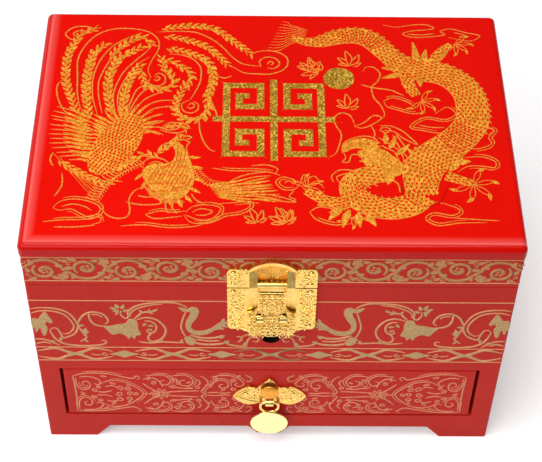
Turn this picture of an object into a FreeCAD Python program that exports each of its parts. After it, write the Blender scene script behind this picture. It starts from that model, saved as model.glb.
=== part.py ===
import FreeCAD, Part
import os
import Sketcher

# Tiered jewelry box: a hinged lid with a brass hasp lock over an upper compartment with a
# lift-out tray, and one drawer below it, on bracket feet. Millimetres and degrees.
# +Z is up, the front faces -Y, and the origin is the middle of the whole box on the floor.

SIZES = {
    # carcass
    "body_width": 298,
    "body_depth": 203,
    "seam_height": 165,
    "side_board": 13,
    "end_board": 12,
    "housing": 4,
    "edge_rounding": 1.5,
    # bracket feet, and the drop in the middle of the front rail
    "foot_height": 12,
    "foot_width": 32,
    "foot_slope": 9.5,
    "rail_height": 13.5,
    "drop_width": 28,
    "drop_depth": 8,
    "drop_slope": 6,
    # drawer bay and compartment
    "opening_height": 53,
    "shelf_thickness": 6,
    "panel_thickness": 5,
    "runner_width": 10,
    "runner_height": 3,
    "stop_width": 30,
    "stop_thickness": 10,
    "stop_height": 7,
    "lining_thickness": 1.5,
    "ledge_width": 6,
    "ledge_height": 5,
    "ledge_level": 131,
    "finger_radius": 6,
    "finger_depth": 8,
    "finger_level": 113.3,
    # lid
    "lid_height": 37,
    "seam_gap": 0.4,
    "lid_top_thickness": 10,
    "lid_overhang": 1,
    "top_rounding": 4,
    "under_chamfer": 0.8,
    "lid_lining_thickness": 2,
    "mirror_width": 220,
    "mirror_depth": 136,
    "mirror_thickness": 3,
    "frame_width": 9,
    "frame_thickness": 6,
    "frame_lap": 3,
    # lid hinges in the bevelled back seam
    "lid_angle": 100,
    "stop_margin": 0.5,
    "bevel_depth": 3,
    "hinge_spacing": 180,
    "hinge_length": 30,
    "hinge_fit": 0.3,
    "knuckle_radius": 2.5,
    "hinge_pin_radius": 0.9,
    "pin_clearance": 0.05,
    "leaf_thickness": 1.2,
    "leaf_width": 7,
    "screw_inset": 2.6,
    "screw_spacing": 20,
    "screw_radius": 0.8,
    "screw_point": 0.15,
    "screw_head_radius": 1.5,
    "screw_length": 7,
    # brass lock
    "lock_reach": 7.6,
    "plate_thickness": 1.6,
    "plate_width": 53.4,
    "tooth_pitch": 4,
    "tooth_rise": 0.5,
    "plate_corner": 2.5,
    "plate_gap": 0.2,
    "upper_plate_height": 17.3,
    "arch_width": 30,
    "arch_height": 8.2,
    "lip_width": 2.6,
    "lip_thickness": 1.8,
    "lower_plate_height": 40.6,
    "lobe_width": 40,
    "lobe_slope": 5,
    "lobe_height": 2.6,
    "ear_width": 4.8,
    "ear_radius": 2.3,
    "ear_height": 12.4,
    "hasp_axis_height": 6.1,
    "hasp_axis_reach": 4.1,
    "hasp_barrel_radius": 1.9,
    "hasp_pin_radius": 0.8,
    "hasp_fit": 0.25,
    "hasp_width": 17.3,
    "hasp_thickness": 1.6,
    "hasp_drop": 45.3,
    "head_width": 30,
    "head_height": 17,
    "hasp_lobe_radius": 5,
    "tip_width": 4.4,
    "tip_length": 5.2,
    "window_width": 14.4,
    "window_height": 3.2,
    "window_drop": 6.8,
    "staple_spacing": 14.1,
    "staple_width": 4.2,
    "staple_height": 5.4,
    "staple_thickness": 1.2,
    "staple_drop": 32.4,
    "slot_margin_side": 0.5,
    "slot_margin_end": 0.9,
    "staple_leg": 8,
    "nail_head_radius": 1.6,
    "nail_head_height": 0.9,
    "nail_head_chamfer": 0.5,
    "nail_width": 1,
    "nail_length": 8,
    "nail_inset": 3.4,
    # drawer
    "drawer_gap": 0.8,
    "drawer_side_gap": 1.8,
    "drawer_side_clearance": 2,
    "drawer_back_clearance": 1,
    "drawer_travel": 140,
    "drawer_lift": 0.3,
    "drawer_board": 7,
    "drawer_top_gap": 4.5,
    "drawer_floor_thickness": 3,
    "drawer_floor_inset": 3,
    "drawer_groove": 3,
    "divider_thickness": 4,
    "drawer_divider_height": 26,
    "drawer_cell_width": 88,
    "lining_drop": 4,
    "stop_clearance": 0.3,
    # drawer pull
    "pull_axis_level": 46.5,
    "pull_axis_reach": 4.2,
    "pull_plate_width": 48.4,
    "pull_plate_rise": 23.9,
    "pull_plate_fall": 6,
    "pull_tip_level": 3.5,
    "pull_bump_width": 26.6,
    "pull_bump_rise": 14.7,
    "pull_notch_width": 18,
    "pull_notch_rise": 12,
    "pull_lobe_width": 29,
    "pull_nail_spacing": 31,
    "pull_nail_rise": 6,
    "eye_width": 5.2,
    "eye_radius": 2.6,
    "eye_clearance": 0.1,
    "shank_radius": 1.5,
    "shank_clearance": 0.1,
    "nut_radius": 4,
    "nut_thickness": 3,
    "nut_recess": 4.5,
    "nut_clearance": 0.5,
    "wire_radius": 1,
    "ring_width": 11.7,
    "ring_shoulder": 2.85,
    "ring_straight": 2,
    "disc_radius": 12.5,
    "disc_thickness": 1.6,
    "disc_lap": 2.8,
    "disc_chamfer": 0.4,
    # tray
    "tray_clearance": 1.2,
    "tray_height": 26,
    "tray_board": 5,
    "tray_lift": 0.3,
    "tray_floor_thickness": 3,
    "tray_divider_height": 18,
    "ring_field_width": 108,
    "roll_radius": 8.4,
    "roll_pitch": 18.4,
    "roll_clearance": 0.3,
    "notch_radius": 12,
    "notch_depth": 8,
}

doc = FreeCAD.newDocument("tiered_jewelry_box")
sheet = doc.addObject("Spreadsheet::Sheet", "size")
for row, (alias, value) in enumerate(SIZES.items(), start=1):
    sheet.set(f"A{row}", alias)
    sheet.set(f"B{row}", str(value))
    sheet.setAlias(f"B{row}", alias)
doc.recompute()

# Bulges of common arcs: a quarter circle, a half circle and a low dome.
QUARTER = 0.20710678
HALF_ROUND = 0.5
SLACK = 0.1

kept = []


def amount(expression):
    """The value of an expression over the sheet's sizes."""
    return float(sheet.evalExpression(str(expression)))


# Places that several pieces share, as expressions over the sheet.
FRONT = "((size.lock_reach - size.lid_overhang - size.body_depth) / 2)"
BACK = f"({FRONT} + size.body_depth)"
BAY_WIDTH = "(size.body_width - 2 * size.side_board)"
BAY_SIDE = f"({BAY_WIDTH} / 2)"
BAY_DEPTH = "(size.body_depth - 2 * size.end_board)"
BAY_FRONT = f"({FRONT} + size.end_board)"
BAY_BACK = f"({BACK} - size.end_board)"
RAIL_TOP = "(size.foot_height + size.rail_height)"
BAY_TOP = f"({RAIL_TOP} + size.opening_height)"
SHELF_TOP = f"({BAY_TOP} + size.shelf_thickness)"
LID_BOTTOM = "(size.seam_height + size.seam_gap)"
TOTAL_HEIGHT = "(size.seam_height + size.lid_height)"
SKIRT_HEIGHT = "(size.lid_height - size.seam_gap - size.lid_top_thickness)"
LID_CEILING = f"({TOTAL_HEIGHT} - size.lid_top_thickness)"
HINGE_Y = f"({BACK} - size.bevel_depth)"
HINGE_Z = "(size.seam_height + size.seam_gap / 2)"
BEVEL_TAN = "tan((size.lid_angle + size.stop_margin) / 2 * 1deg)"
BEVEL_HEIGHT = f"(size.bevel_depth * {BEVEL_TAN})"
BEVEL_START = f"(size.seam_gap / 2 / {BEVEL_TAN})"
PANEL_LOW = f"({RAIL_TOP} - size.runner_height - size.panel_thickness)"
FOOT_INSIDE = "(size.foot_width - size.side_board)"


def keep(item, label):
    """Registers a finished sub-part under the name of its file."""
    item.Label = label
    kept.append(item)
    return item


def place(item, across="0", along="0", up="0"):
    """Puts an object's own origin at a place in the box."""
    item.setExpression("Placement.Base.x", across)
    item.setExpression("Placement.Base.y", along)
    item.setExpression("Placement.Base.z", up)
    return item


def block(name, width, depth, height, across, along, up):
    """A plain rectangular piece."""
    box = doc.addObject("Part::Box", name)
    box.setExpression("Length", width)
    box.setExpression("Width", depth)
    box.setExpression("Height", height)
    return place(box, across, along, up)


def rod(name, radius, length, along_axis, across, along, up):
    """A round bar that starts at a place and runs along X, Y or Z."""
    bar = doc.addObject("Part::Cylinder", name)
    bar.setExpression("Radius", radius)
    bar.setExpression("Height", length)
    turns = {
        "X": FreeCAD.Rotation(FreeCAD.Vector(0, 1, 0), 90),
        "Y": FreeCAD.Rotation(FreeCAD.Vector(1, 0, 0), -90),
        "Z": FreeCAD.Rotation(),
    }
    bar.Placement = FreeCAD.Placement(FreeCAD.Vector(), turns[along_axis])
    return place(bar, across, along, up)


def combine(kind, name, base, tool):
    """A boolean of two objects: Part::Cut, Part::Fuse or Part::Common."""
    result = doc.addObject(kind, name)
    result.Base = base
    result.Tool = tool
    return result


def group(label, members):
    """Like solids that share one sub-part."""
    bundle = doc.addObject("Part::Compound", label)
    bundle.Links = members
    return keep(bundle, label)


def new_body(name):
    return doc.addObject("PartDesign::Body", name)


def bind(sketch, kind, entity, point, expression):
    """Pins one coordinate of a sketch point to an expression."""
    number = sketch.addConstraint(Sketcher.Constraint(kind, -1, 1, entity, point, amount(expression)))
    sketch.setExpression(f"Constraints[{number}]", expression)


def blank_sketch(body, role, shift):
    """A sketch on one of the body's own origin planes, moved along the plane's normal."""
    plane = [item for item in body.Origin.OriginFeatures if item.Role == role][0]
    sketch = body.newObject("Sketcher::SketchObject", f"{body.Name}_sketch")
    sketch.AttachmentSupport = [(plane, "")]
    sketch.MapMode = "FlatFace"
    sketch.setExpression("AttachmentOffset.Base.z", shift)
    return sketch


def draw(body, role, corners, shift="0"):
    """A closed outline of corners (u, v). A third value is the bulge of the edge that leads to
    the corner: the height of its arc over its chord, positive to the left of the walk."""
    sketch = blank_sketch(body, role, shift)
    points = [FreeCAD.Vector(amount(corner[0]), amount(corner[1]), 0) for corner in corners]
    starts = []
    stops = []
    for index, corner in enumerate(corners):
        start = points[index - 1]
        stop = points[index]
        if len(corner) == 2:
            edge = sketch.addGeometry(Part.LineSegment(start, stop))
            starts.append((edge, 1))
            stops.append((edge, 2))
            continue
        from_u, from_v = corners[index - 1][:2]
        to_u, to_v, bulge = corner
        via_u = f"(({from_u}) + ({to_u})) / 2 - ({bulge}) * (({to_v}) - ({from_v}))"
        via_v = f"(({from_v}) + ({to_v})) / 2 + ({bulge}) * (({to_u}) - ({from_u}))"
        via = FreeCAD.Vector(amount(via_u), amount(via_v), 0)
        edge = sketch.addGeometry(Part.Arc(start, via, stop))
        flipped = (sketch.getPoint(edge, 1) - start).Length > (sketch.getPoint(edge, 2) - start).Length
        starts.append((edge, 2 if flipped else 1))
        stops.append((edge, 1 if flipped else 2))
        mark = sketch.addGeometry(Part.Point(via), True)
        bind(sketch, "DistanceX", mark, 1, via_u)
        bind(sketch, "DistanceY", mark, 1, via_v)
        sketch.addConstraint(Sketcher.Constraint("PointOnObject", mark, 1, edge))
    for corner, stop, following in zip(corners, stops, starts[1:] + starts[:1]):
        sketch.addConstraint(Sketcher.Constraint("Coincident", *stop, *following))
        bind(sketch, "DistanceX", *stop, corner[0])
        bind(sketch, "DistanceY", *stop, corner[1])
    return sketch


def rectangle(left, low, right, high):
    return [(left, low), (right, low), (right, high), (left, high)]


def centred(width, depth):
    return rectangle(f"-({width}) / 2", f"-({depth}) / 2", f"({width}) / 2", f"({depth}) / 2")


def polygon(radius, sides, across="0", up="0"):
    """Corners of a regular polygon about a point, with flat sides to the left and right."""
    angles = [f"({(number + 0.5) * 360 / sides} * 1deg)" for number in range(sides)]
    return [(f"{across} + {radius} * cos{angle}", f"{up} + {radius} * sin{angle}") for angle in angles]


def draw_circles(body, role, circles, shift="0"):
    """Circles given as (u, v, radius)."""
    sketch = blank_sketch(body, role, shift)
    for across, up, radius in circles:
        centre = FreeCAD.Vector(amount(across), amount(up), 0)
        ring = sketch.addGeometry(Part.Circle(centre, FreeCAD.Vector(0, 0, 1), amount(radius)))
        bind(sketch, "DistanceX", ring, 3, across)
        bind(sketch, "DistanceY", ring, 3, up)
        number = sketch.addConstraint(Sketcher.Constraint("Radius", ring, amount(radius)))
        sketch.setExpression(f"Constraints[{number}]", radius)
    return sketch


def pad(body, sketch, length, against=False):
    """Adds the outline's prism along the plane's normal, or against it."""
    feature = body.newObject("PartDesign::Pad", f"{body.Name}_pad")
    feature.Profile = sketch
    feature.Reversed = against
    feature.setExpression("Length", length)
    doc.recompute()
    return feature


def cut(body, sketch, length, against=False):
    """Takes away the outline's prism along the plane's normal, or against it."""
    before = body.Shape.Volume
    feature = body.newObject("PartDesign::Pocket", f"{body.Name}_cut")
    feature.Profile = sketch
    feature.Reversed = not against
    feature.setExpression("Length", length)
    doc.recompute()
    if not body.Shape.Volume < before:
        raise ValueError(f"{body.Name}: a cut took nothing away")
    return feature


def dress(body, kind, size, amount_of, chosen):
    base = body.Tip
    names = [f"Edge{n}" for n, edge in enumerate(base.Shape.Edges, start=1) if chosen(edge)]
    feature = body.newObject(kind, f"{body.Name}_edges")
    feature.Base = (base, names)
    feature.setExpression(size, amount_of)
    doc.recompute()
    return feature


def soften(body, radius, chosen):
    """Rounds the edges that the test picks."""
    return dress(body, "PartDesign::Fillet", "Radius", radius, chosen)


def chamfer(body, width, chosen):
    """Takes the edges that the test picks off at 45 degrees."""
    return dress(body, "PartDesign::Chamfer", "Size", width, chosen)


def near(first, second):
    return abs(first - second) < 0.001


def upright(edge):
    """True for a vertical straight edge."""
    box = edge.BoundBox
    return near(box.XLength, 0) and near(box.YLength, 0) and box.ZLength > 0


def copies(name, source, places):
    """Links to one object at several places, each given as (x, y, z)."""
    made = []
    for number, (across, along, up) in enumerate(places, start=1):
        twin = doc.addObject("App::Link", f"{name}_{number}")
        twin.LinkedObject = source
        made.append(place(twin, across, along, up))
    return made


# Side boards: one profile with two bracket feet and the bevel under the hinge line.
def side_profile(foot):
    """Corners of a side board, or of a lid side where foot is false, from the front face."""
    if foot:
        return [
            ("0", "0"),
            ("size.foot_width", "0"),
            ("size.foot_width + size.foot_slope", "size.foot_height"),
            ("size.body_depth - size.foot_width - size.foot_slope", "size.foot_height"),
            ("size.body_depth - size.foot_width", "0"),
            ("size.body_depth", "0"),
            ("size.body_depth", f"{HINGE_Z} - {BEVEL_HEIGHT}"),
            (f"size.body_depth - size.bevel_depth + {BEVEL_START}", "size.seam_height"),
            ("0", "size.seam_height"),
        ]
    return [
        ("0", "0"),
        (f"size.body_depth - size.bevel_depth + {BEVEL_START}", "0"),
        ("size.body_depth", f"{BEVEL_HEIGHT} - size.seam_gap / 2"),
        ("size.body_depth", SKIRT_HEIGHT),
        ("0", SKIRT_HEIGHT),
    ]


def side_board(label, across, outer_x, housing_x):
    """A side of the carcass, with housings for the shelf and the bottom panel."""
    body = new_body(label)
    pad(body, draw(body, "YZ_Plane", side_profile(foot=True)), "size.side_board")
    for low, thickness in ((BAY_TOP, "size.shelf_thickness"), (PANEL_LOW, "size.panel_thickness")):
        slot = rectangle("size.end_board", low, "size.body_depth - size.end_board", f"{low} + {thickness}")
        cut(body, draw(body, "YZ_Plane", slot, housing_x), "size.housing")
    outer = amount(outer_x)
    depth = amount("size.body_depth")
    corners = (0, depth)
    soften(body, "size.edge_rounding", lambda edge: upright(edge) and near(edge.BoundBox.XMin, outer)
           and any(near(edge.BoundBox.YMin, corner) for corner in corners))
    place(body, across, FRONT, "0")
    return keep(body, label)


side_board("side_left", "-size.body_width / 2", "0", "size.side_board - size.housing")
side_board("side_right", BAY_SIDE, "size.side_board", "0")

# Front board over the drawer, with the round finger recess under the lock.
front_board = new_body("front_board")
FRONT_BOARD_HEIGHT = f"(size.seam_height - {BAY_TOP})"
front_outline = rectangle("0", "0", BAY_WIDTH, FRONT_BOARD_HEIGHT)
pad(front_board, draw(front_board, "XZ_Plane", front_outline), "size.end_board")
recess = [(BAY_SIDE, f"size.finger_level - {BAY_TOP}", "size.finger_radius")]
recess_start = "size.end_board - size.finger_depth"
cut(front_board, draw_circles(front_board, "XZ_Plane", recess, recess_start), "size.finger_depth")
place(front_board, f"-{BAY_SIDE}", BAY_FRONT, BAY_TOP)
keep(front_board, "front_board")

# Front rail between the bracket feet, with the drop in the middle.
front_rail = new_body("front_rail")
rail_outline = [
    ("0", "0"),
    (FOOT_INSIDE, "0"),
    (f"{FOOT_INSIDE} + size.foot_slope", "size.foot_height"),
    (f"{BAY_SIDE} - size.drop_width / 2", "size.foot_height"),
    (f"{BAY_SIDE} - size.drop_width / 2 + size.drop_slope", "size.foot_height - size.drop_depth"),
    (f"{BAY_SIDE} + size.drop_width / 2 - size.drop_slope", "size.foot_height - size.drop_depth"),
    (f"{BAY_SIDE} + size.drop_width / 2", "size.foot_height"),
    (f"{BAY_WIDTH} - {FOOT_INSIDE} - size.foot_slope", "size.foot_height"),
    (f"{BAY_WIDTH} - {FOOT_INSIDE}", "0"),
    (BAY_WIDTH, "0"),
    (BAY_WIDTH, RAIL_TOP),
    ("0", RAIL_TOP),
]
pad(front_rail, draw(front_rail, "XZ_Plane", rail_outline), "size.end_board")
place(front_rail, f"-{BAY_SIDE}", BAY_FRONT, "0")
keep(front_rail, "front_rail")


def hinge_mortises(body, axis_level, leaf_side):
    """Beds for the two hinges in a back board's edge; leaf_side is -1 below the seam, 1 above it."""
    for sign in ("-", "+"):
        start = f"{BAY_SIDE} {sign} size.hinge_spacing / 2 - size.hinge_length / 2 - size.hinge_fit"
        length = "size.hinge_length + 2 * size.hinge_fit"
        edge = f"{axis_level} + {leaf_side} * size.seam_gap / 2"
        floor = f"{edge} + {leaf_side} * size.leaf_thickness"
        outside = f"{edge} - {leaf_side} * size.leaf_thickness"
        bed = rectangle("-size.bevel_depth - size.leaf_width - size.hinge_fit", floor,
                        "-size.bevel_depth", outside)
        cut(body, draw(body, "YZ_Plane", bed, start), length)
        barrel = [("-size.bevel_depth", axis_level, "size.knuckle_radius + size.hinge_fit")]
        cut(body, draw_circles(body, "YZ_Plane", barrel, start), length)


# Back board of the carcass.
back_board = new_body("back_board")
back_outline = [
    ("0", "0"),
    (FOOT_INSIDE, "0"),
    (f"{FOOT_INSIDE} + size.foot_slope", "size.foot_height"),
    (f"{BAY_WIDTH} - {FOOT_INSIDE} - size.foot_slope", "size.foot_height"),
    (f"{BAY_WIDTH} - {FOOT_INSIDE}", "0"),
    (BAY_WIDTH, "0"),
    (BAY_WIDTH, "size.seam_height"),
    ("0", "size.seam_height"),
]
pad(back_board, draw(back_board, "XZ_Plane", back_outline), "size.end_board")
back_bevel = [
    ("-size.bevel_depth", HINGE_Z),
    ("0", f"{HINGE_Z} - {BEVEL_HEIGHT}"),
    ("size.bevel_depth", f"{HINGE_Z} - {BEVEL_HEIGHT}"),
    ("size.bevel_depth", HINGE_Z),
]
cut(back_board, draw(back_board, "YZ_Plane", back_bevel), BAY_WIDTH)
hinge_mortises(back_board, HINGE_Z, "-1")
place(back_board, f"-{BAY_SIDE}", BACK, "0")
keep(back_board, "back_board")

# Shelf, bottom panel and the strips and blocks inside the carcass.
HOUSED_WIDTH = f"({BAY_WIDTH} + 2 * size.housing)"
shelf = block("shelf", HOUSED_WIDTH, BAY_DEPTH, "size.shelf_thickness",
              f"-{HOUSED_WIDTH} / 2", BAY_FRONT, BAY_TOP)
keep(shelf, "middle_shelf")
panel = block("panel", HOUSED_WIDTH, BAY_DEPTH, "size.panel_thickness",
              f"-{HOUSED_WIDTH} / 2", BAY_FRONT, PANEL_LOW)
keep(panel, "bottom_panel")
RUNNER_LOW = f"({RAIL_TOP} - size.runner_height)"
runners = [
    block(f"runner_{number}", "size.runner_width", BAY_DEPTH, "size.runner_height",
          across, BAY_FRONT, RUNNER_LOW)
    for number, across in enumerate((f"-{BAY_SIDE}", f"{BAY_SIDE} - size.runner_width"))
]
group("drawer_runners", runners)

ledges = [
    block(f"ledge_{number}", "size.ledge_width", BAY_DEPTH, "size.ledge_height", across, BAY_FRONT,
          "size.ledge_level - size.ledge_height")
    for number, across in enumerate((f"-{BAY_SIDE}", f"{BAY_SIDE} - size.ledge_width"))
]
group("tray_ledges", ledges)


def lining(label, width, depth, height, across, along, up):
    """Velvet covered card: a floor and four walls, open at the top."""
    thickness = "size.lining_thickness"
    outside = block(f"{label}_outside", width, depth, height, across, along, up)
    inside = block(f"{label}_inside", f"{width} - 2 * {thickness}", f"{depth} - 2 * {thickness}", height,
                   f"{across} + {thickness}", f"{along} + {thickness}", f"{up} + {thickness}")
    return keep(combine("Part::Cut", label, outside, inside), label)


CASE_LINING_HEIGHT = f"(size.ledge_level - size.ledge_height - {SHELF_TOP})"
lining("case_lining", BAY_WIDTH, BAY_DEPTH, CASE_LINING_HEIGHT, f"-{BAY_SIDE}", BAY_FRONT, SHELF_TOP)

# Lid: a thick rounded top board over a skirt of four boards.
lid_top = new_body("lid_top")
TOP_WIDTH = "(size.body_width + 2 * size.lid_overhang)"
TOP_DEPTH = "(size.body_depth + 2 * size.lid_overhang)"
top_outline = rectangle(f"-{TOP_WIDTH} / 2", "0", f"{TOP_WIDTH} / 2", TOP_DEPTH)
pad(lid_top, draw(lid_top, "XY_Plane", top_outline), "size.lid_top_thickness")
soften(lid_top, "size.top_rounding", upright)
top_level = amount("size.lid_top_thickness")
soften(lid_top, "size.top_rounding", lambda edge: near(edge.BoundBox.ZMin, top_level))
chamfer(lid_top, "size.under_chamfer", lambda edge: near(edge.BoundBox.ZMax, 0))
place(lid_top, "0", f"{FRONT} - size.lid_overhang", LID_CEILING)
keep(lid_top, "lid_top")

lid_front = block("lid_front_board", BAY_WIDTH, "size.end_board", SKIRT_HEIGHT,
                  f"-{BAY_SIDE}", FRONT, LID_BOTTOM)
keep(lid_front, "lid_front")


def lid_side(label, across, outer_x):
    body = new_body(label)
    pad(body, draw(body, "YZ_Plane", side_profile(foot=False)), "size.side_board")
    outer = amount(outer_x)
    corners = (0, amount("size.body_depth"))
    soften(body, "size.edge_rounding", lambda edge: upright(edge) and near(edge.BoundBox.XMin, outer)
           and any(near(edge.BoundBox.YMin, corner) for corner in corners))
    place(body, across, FRONT, LID_BOTTOM)
    return keep(body, label)


lid_side("lid_left", "-size.body_width / 2", "0")
lid_side("lid_right", BAY_SIDE, "size.side_board")

lid_back = new_body("lid_back")
pad(lid_back, draw(lid_back, "XZ_Plane", rectangle("0", "0", BAY_WIDTH, SKIRT_HEIGHT)), "size.end_board")
LID_AXIS = "(-size.seam_gap / 2)"
lid_bevel = [
    ("-size.bevel_depth", LID_AXIS),
    ("size.bevel_depth", LID_AXIS),
    ("size.bevel_depth", f"{BEVEL_HEIGHT} + {LID_AXIS}"),
    ("0", f"{BEVEL_HEIGHT} + {LID_AXIS}"),
]
cut(lid_back, draw(lid_back, "YZ_Plane", lid_bevel), BAY_WIDTH)
hinge_mortises(lid_back, LID_AXIS, "1")
place(lid_back, f"-{BAY_SIDE}", BACK, LID_BOTTOM)
keep(lid_back, "lid_back")

LINING_LOW = f"({LID_CEILING} - size.lid_lining_thickness)"
lid_lining = block("lid_velvet", BAY_WIDTH, BAY_DEPTH, "size.lid_lining_thickness",
                   f"-{BAY_SIDE}", BAY_FRONT, LINING_LOW)
keep(lid_lining, "lid_lining")

# Mirror in the lid, held by a frame that laps over its edges.
LID_MIDDLE = f"({FRONT} + size.body_depth / 2)"
FRAME_LOW = f"({LINING_LOW} - size.frame_thickness)"
mirror_frame = new_body("mirror_frame")
FRAME_SPREAD = "2 * (size.frame_width - size.frame_lap)"
frame_outside = centred(f"size.mirror_width + {FRAME_SPREAD}", f"size.mirror_depth + {FRAME_SPREAD}")
frame_sight = centred("size.mirror_width - 2 * size.frame_lap", "size.mirror_depth - 2 * size.frame_lap")
pad(mirror_frame, draw(mirror_frame, "XY_Plane", frame_outside), "size.frame_thickness")
cut(mirror_frame, draw(mirror_frame, "XY_Plane", frame_sight), "size.frame_thickness")
REBATE = "(size.frame_thickness - size.mirror_thickness)"
frame_rebate = centred("size.mirror_width", "size.mirror_depth")
cut(mirror_frame, draw(mirror_frame, "XY_Plane", frame_rebate, REBATE), "size.mirror_thickness")
chamfer(mirror_frame, "size.under_chamfer", lambda edge: near(edge.BoundBox.ZMax, 0))
place(mirror_frame, "0", LID_MIDDLE, FRAME_LOW)
keep(mirror_frame, "mirror_frame")

mirror = block("mirror", "size.mirror_width", "size.mirror_depth", "size.mirror_thickness",
               "-size.mirror_width / 2", f"{LID_MIDDLE} - size.mirror_depth / 2", f"{FRAME_LOW} + {REBATE}")
keep(mirror, "mirror_glass")

# Lid hinges: three knuckles on a pin, leaves let into the edges at the seam.
KNUCKLE = "(size.hinge_length / 3)"
KNUCKLE_GAP = "(size.hinge_fit / 2)"
HEAD_SLOPE = "atan((size.screw_head_radius - size.screw_radius) / size.leaf_thickness)"
SHANK_SLOPE = "atan((size.screw_radius - size.screw_point) / (size.screw_length - size.leaf_thickness))"


def taper(feature, slope):
    """Draws a prism in towards its far end."""
    feature.setExpression("TaperAngle", f"-{slope}")
    doc.recompute()
    return feature


def hinge_leaf(name, leaf_side, knuckles, gaps):
    """One leaf about the hinge axis, with its knuckles and room for the other leaf's."""
    body = new_body(name)
    inner = f"{leaf_side} * size.seam_gap / 2"
    outer = f"{leaf_side} * (size.seam_gap / 2 + size.leaf_thickness)"
    plate = rectangle("-size.leaf_width", inner, "0", outer)
    pad(body, draw(body, "YZ_Plane", plate), "size.hinge_length")
    for first, last in gaps:
        room = rectangle("-size.knuckle_radius - size.hinge_fit", inner, "0", outer)
        start = f"{first} * {KNUCKLE} - {KNUCKLE_GAP}"
        cut(body, draw(body, "YZ_Plane", room, start), f"{last - first} * {KNUCKLE} + 2 * {KNUCKLE_GAP}")
    for first, last in knuckles:
        start = f"{first} * {KNUCKLE} + {KNUCKLE_GAP}"
        span = f"{last - first} * {KNUCKLE} - 2 * {KNUCKLE_GAP}"
        pad(body, draw_circles(body, "YZ_Plane", [("0", "0", "size.knuckle_radius")], start), span)
    bore = [("0", "0", "size.hinge_pin_radius + size.pin_clearance")]
    cut(body, draw_circles(body, "YZ_Plane", bore), "size.hinge_length")
    for sign in ("-", "+"):
        seat = polygon("size.screw_head_radius", 8, f"size.hinge_length / 2 {sign} size.screw_spacing / 2",
                       "-size.leaf_width + size.screw_inset")
        downwards = leaf_side == "-1"
        hole = cut(body, draw(body, "XY_Plane", seat, inner), "size.leaf_thickness", downwards)
        taper(hole, HEAD_SLOPE)
    return body


def both_hinges(offset):
    """The two places of a hinge part whose own origin lies at the hinge's left end."""
    return [
        (f"{sign} size.hinge_spacing / 2 - size.hinge_length / 2 + {offset}", HINGE_Y, HINGE_Z)
        for sign in ("-", "+")
    ]


def hinge_pair(label, source, offset="0"):
    group(label, copies(label, source, both_hinges(offset)))


case_leaf = hinge_leaf("case_leaf", "-1", ((0, 1), (2, 3)), ((1, 2),))
hinge_pair("case_hinge_leaves", case_leaf)
lid_leaf = hinge_leaf("lid_leaf", "1", ((1, 2),), ((0, 1), (2, 3)))
hinge_pair("lid_hinge_leaves", lid_leaf)
hinge_pin = new_body("hinge_pin")
pin_circle = [("0", "0", "size.hinge_pin_radius")]
pad(hinge_pin, draw_circles(hinge_pin, "YZ_Plane", pin_circle, KNUCKLE_GAP),
    f"size.hinge_length - 2 * {KNUCKLE_GAP}")
hinge_pair("hinge_pins", hinge_pin)


def leaf_screw(name, upwards):
    """A countersunk wood screw whose head fills its seat in the leaf."""
    sign = "" if upwards else "-"
    body = new_body(name)
    head = draw(body, "XY_Plane", polygon("size.screw_head_radius", 8), f"{sign}size.seam_gap / 2")
    taper(pad(body, head, "size.leaf_thickness", not upwards), HEAD_SLOPE)
    neck = f"{sign}(size.seam_gap / 2 + size.leaf_thickness)"
    shank = draw(body, "XY_Plane", polygon("size.screw_radius", 8), neck)
    taper(pad(body, shank, "size.screw_length - size.leaf_thickness", not upwards), SHANK_SLOPE)
    return body


def screw_places():
    """Two screws in each of the two hinges."""
    return [
        (f"{hinge} size.hinge_spacing / 2 {screw} size.screw_spacing / 2",
         f"{HINGE_Y} - size.leaf_width + size.screw_inset", HINGE_Z)
        for hinge in ("-", "+")
        for screw in ("-", "+")
    ]


group("case_hinge_screws", copies("case_screw", leaf_screw("down_screw", False), screw_places()))
group("lid_hinge_screws", copies("lid_screw", leaf_screw("up_screw", True), screw_places()))

# Brass lock: an upper plate on the lid with two ears and an arched lip, and a lower plate
# on the case with two staples that stand through the hasp.
HASP_AXIS_Z = f"({LID_BOTTOM} + size.hasp_axis_height)"
HASP_AXIS_Y = f"({FRONT} - size.hasp_axis_reach)"
EAR_INSIDE = "(size.hasp_width / 2 + size.hasp_fit)"
HALF_PLATE = "(size.plate_width / 2)"
UPPER_TOP = "(size.plate_gap + size.upper_plate_height)"


def teeth(side, first, last):
    """Corners of a row of small blunt teeth along a plate's right (1) or left (-1) edge."""
    span = f"(({last}) - ({first}))"
    count = round(abs(amount(span)) / amount("size.tooth_pitch"))
    return [
        (f"{side} * ({HALF_PLATE} + {rise})", f"{first} + {span} * {number + share} / {count}")
        for number in range(count)
        for share, rise in ((0.25, "size.tooth_rise"), (0.75, "size.tooth_rise"), (1, "0"))
    ]


upper_plate = new_body("upper_plate")
upper_outline = [
    (HALF_PLATE, "size.plate_gap"),
    *teeth(1, "size.plate_gap", f"{UPPER_TOP} - size.plate_corner"),
    (f"{HALF_PLATE} - size.plate_corner", UPPER_TOP, -QUARTER),
    ("size.arch_width / 2", UPPER_TOP),
    ("-size.arch_width / 2", UPPER_TOP, "-size.arch_height / size.arch_width"),
    (f"-{HALF_PLATE} + size.plate_corner", UPPER_TOP),
    (f"-{HALF_PLATE}", f"{UPPER_TOP} - size.plate_corner", -QUARTER),
    *teeth(-1, f"{UPPER_TOP} - size.plate_corner", "size.plate_gap"),
]
pad(upper_plate, draw(upper_plate, "XZ_Plane", upper_outline), "size.plate_thickness")
LIP_INSIDE = "(size.arch_width / 2 - size.lip_width)"
lip = [
    ("-size.arch_width / 2", UPPER_TOP, "-size.arch_height / size.arch_width"),
    (f"-{LIP_INSIDE}", UPPER_TOP),
    (LIP_INSIDE, UPPER_TOP, f"(size.arch_height - size.lip_width) / (2 * {LIP_INSIDE})"),
    ("size.arch_width / 2", UPPER_TOP),
]
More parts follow.
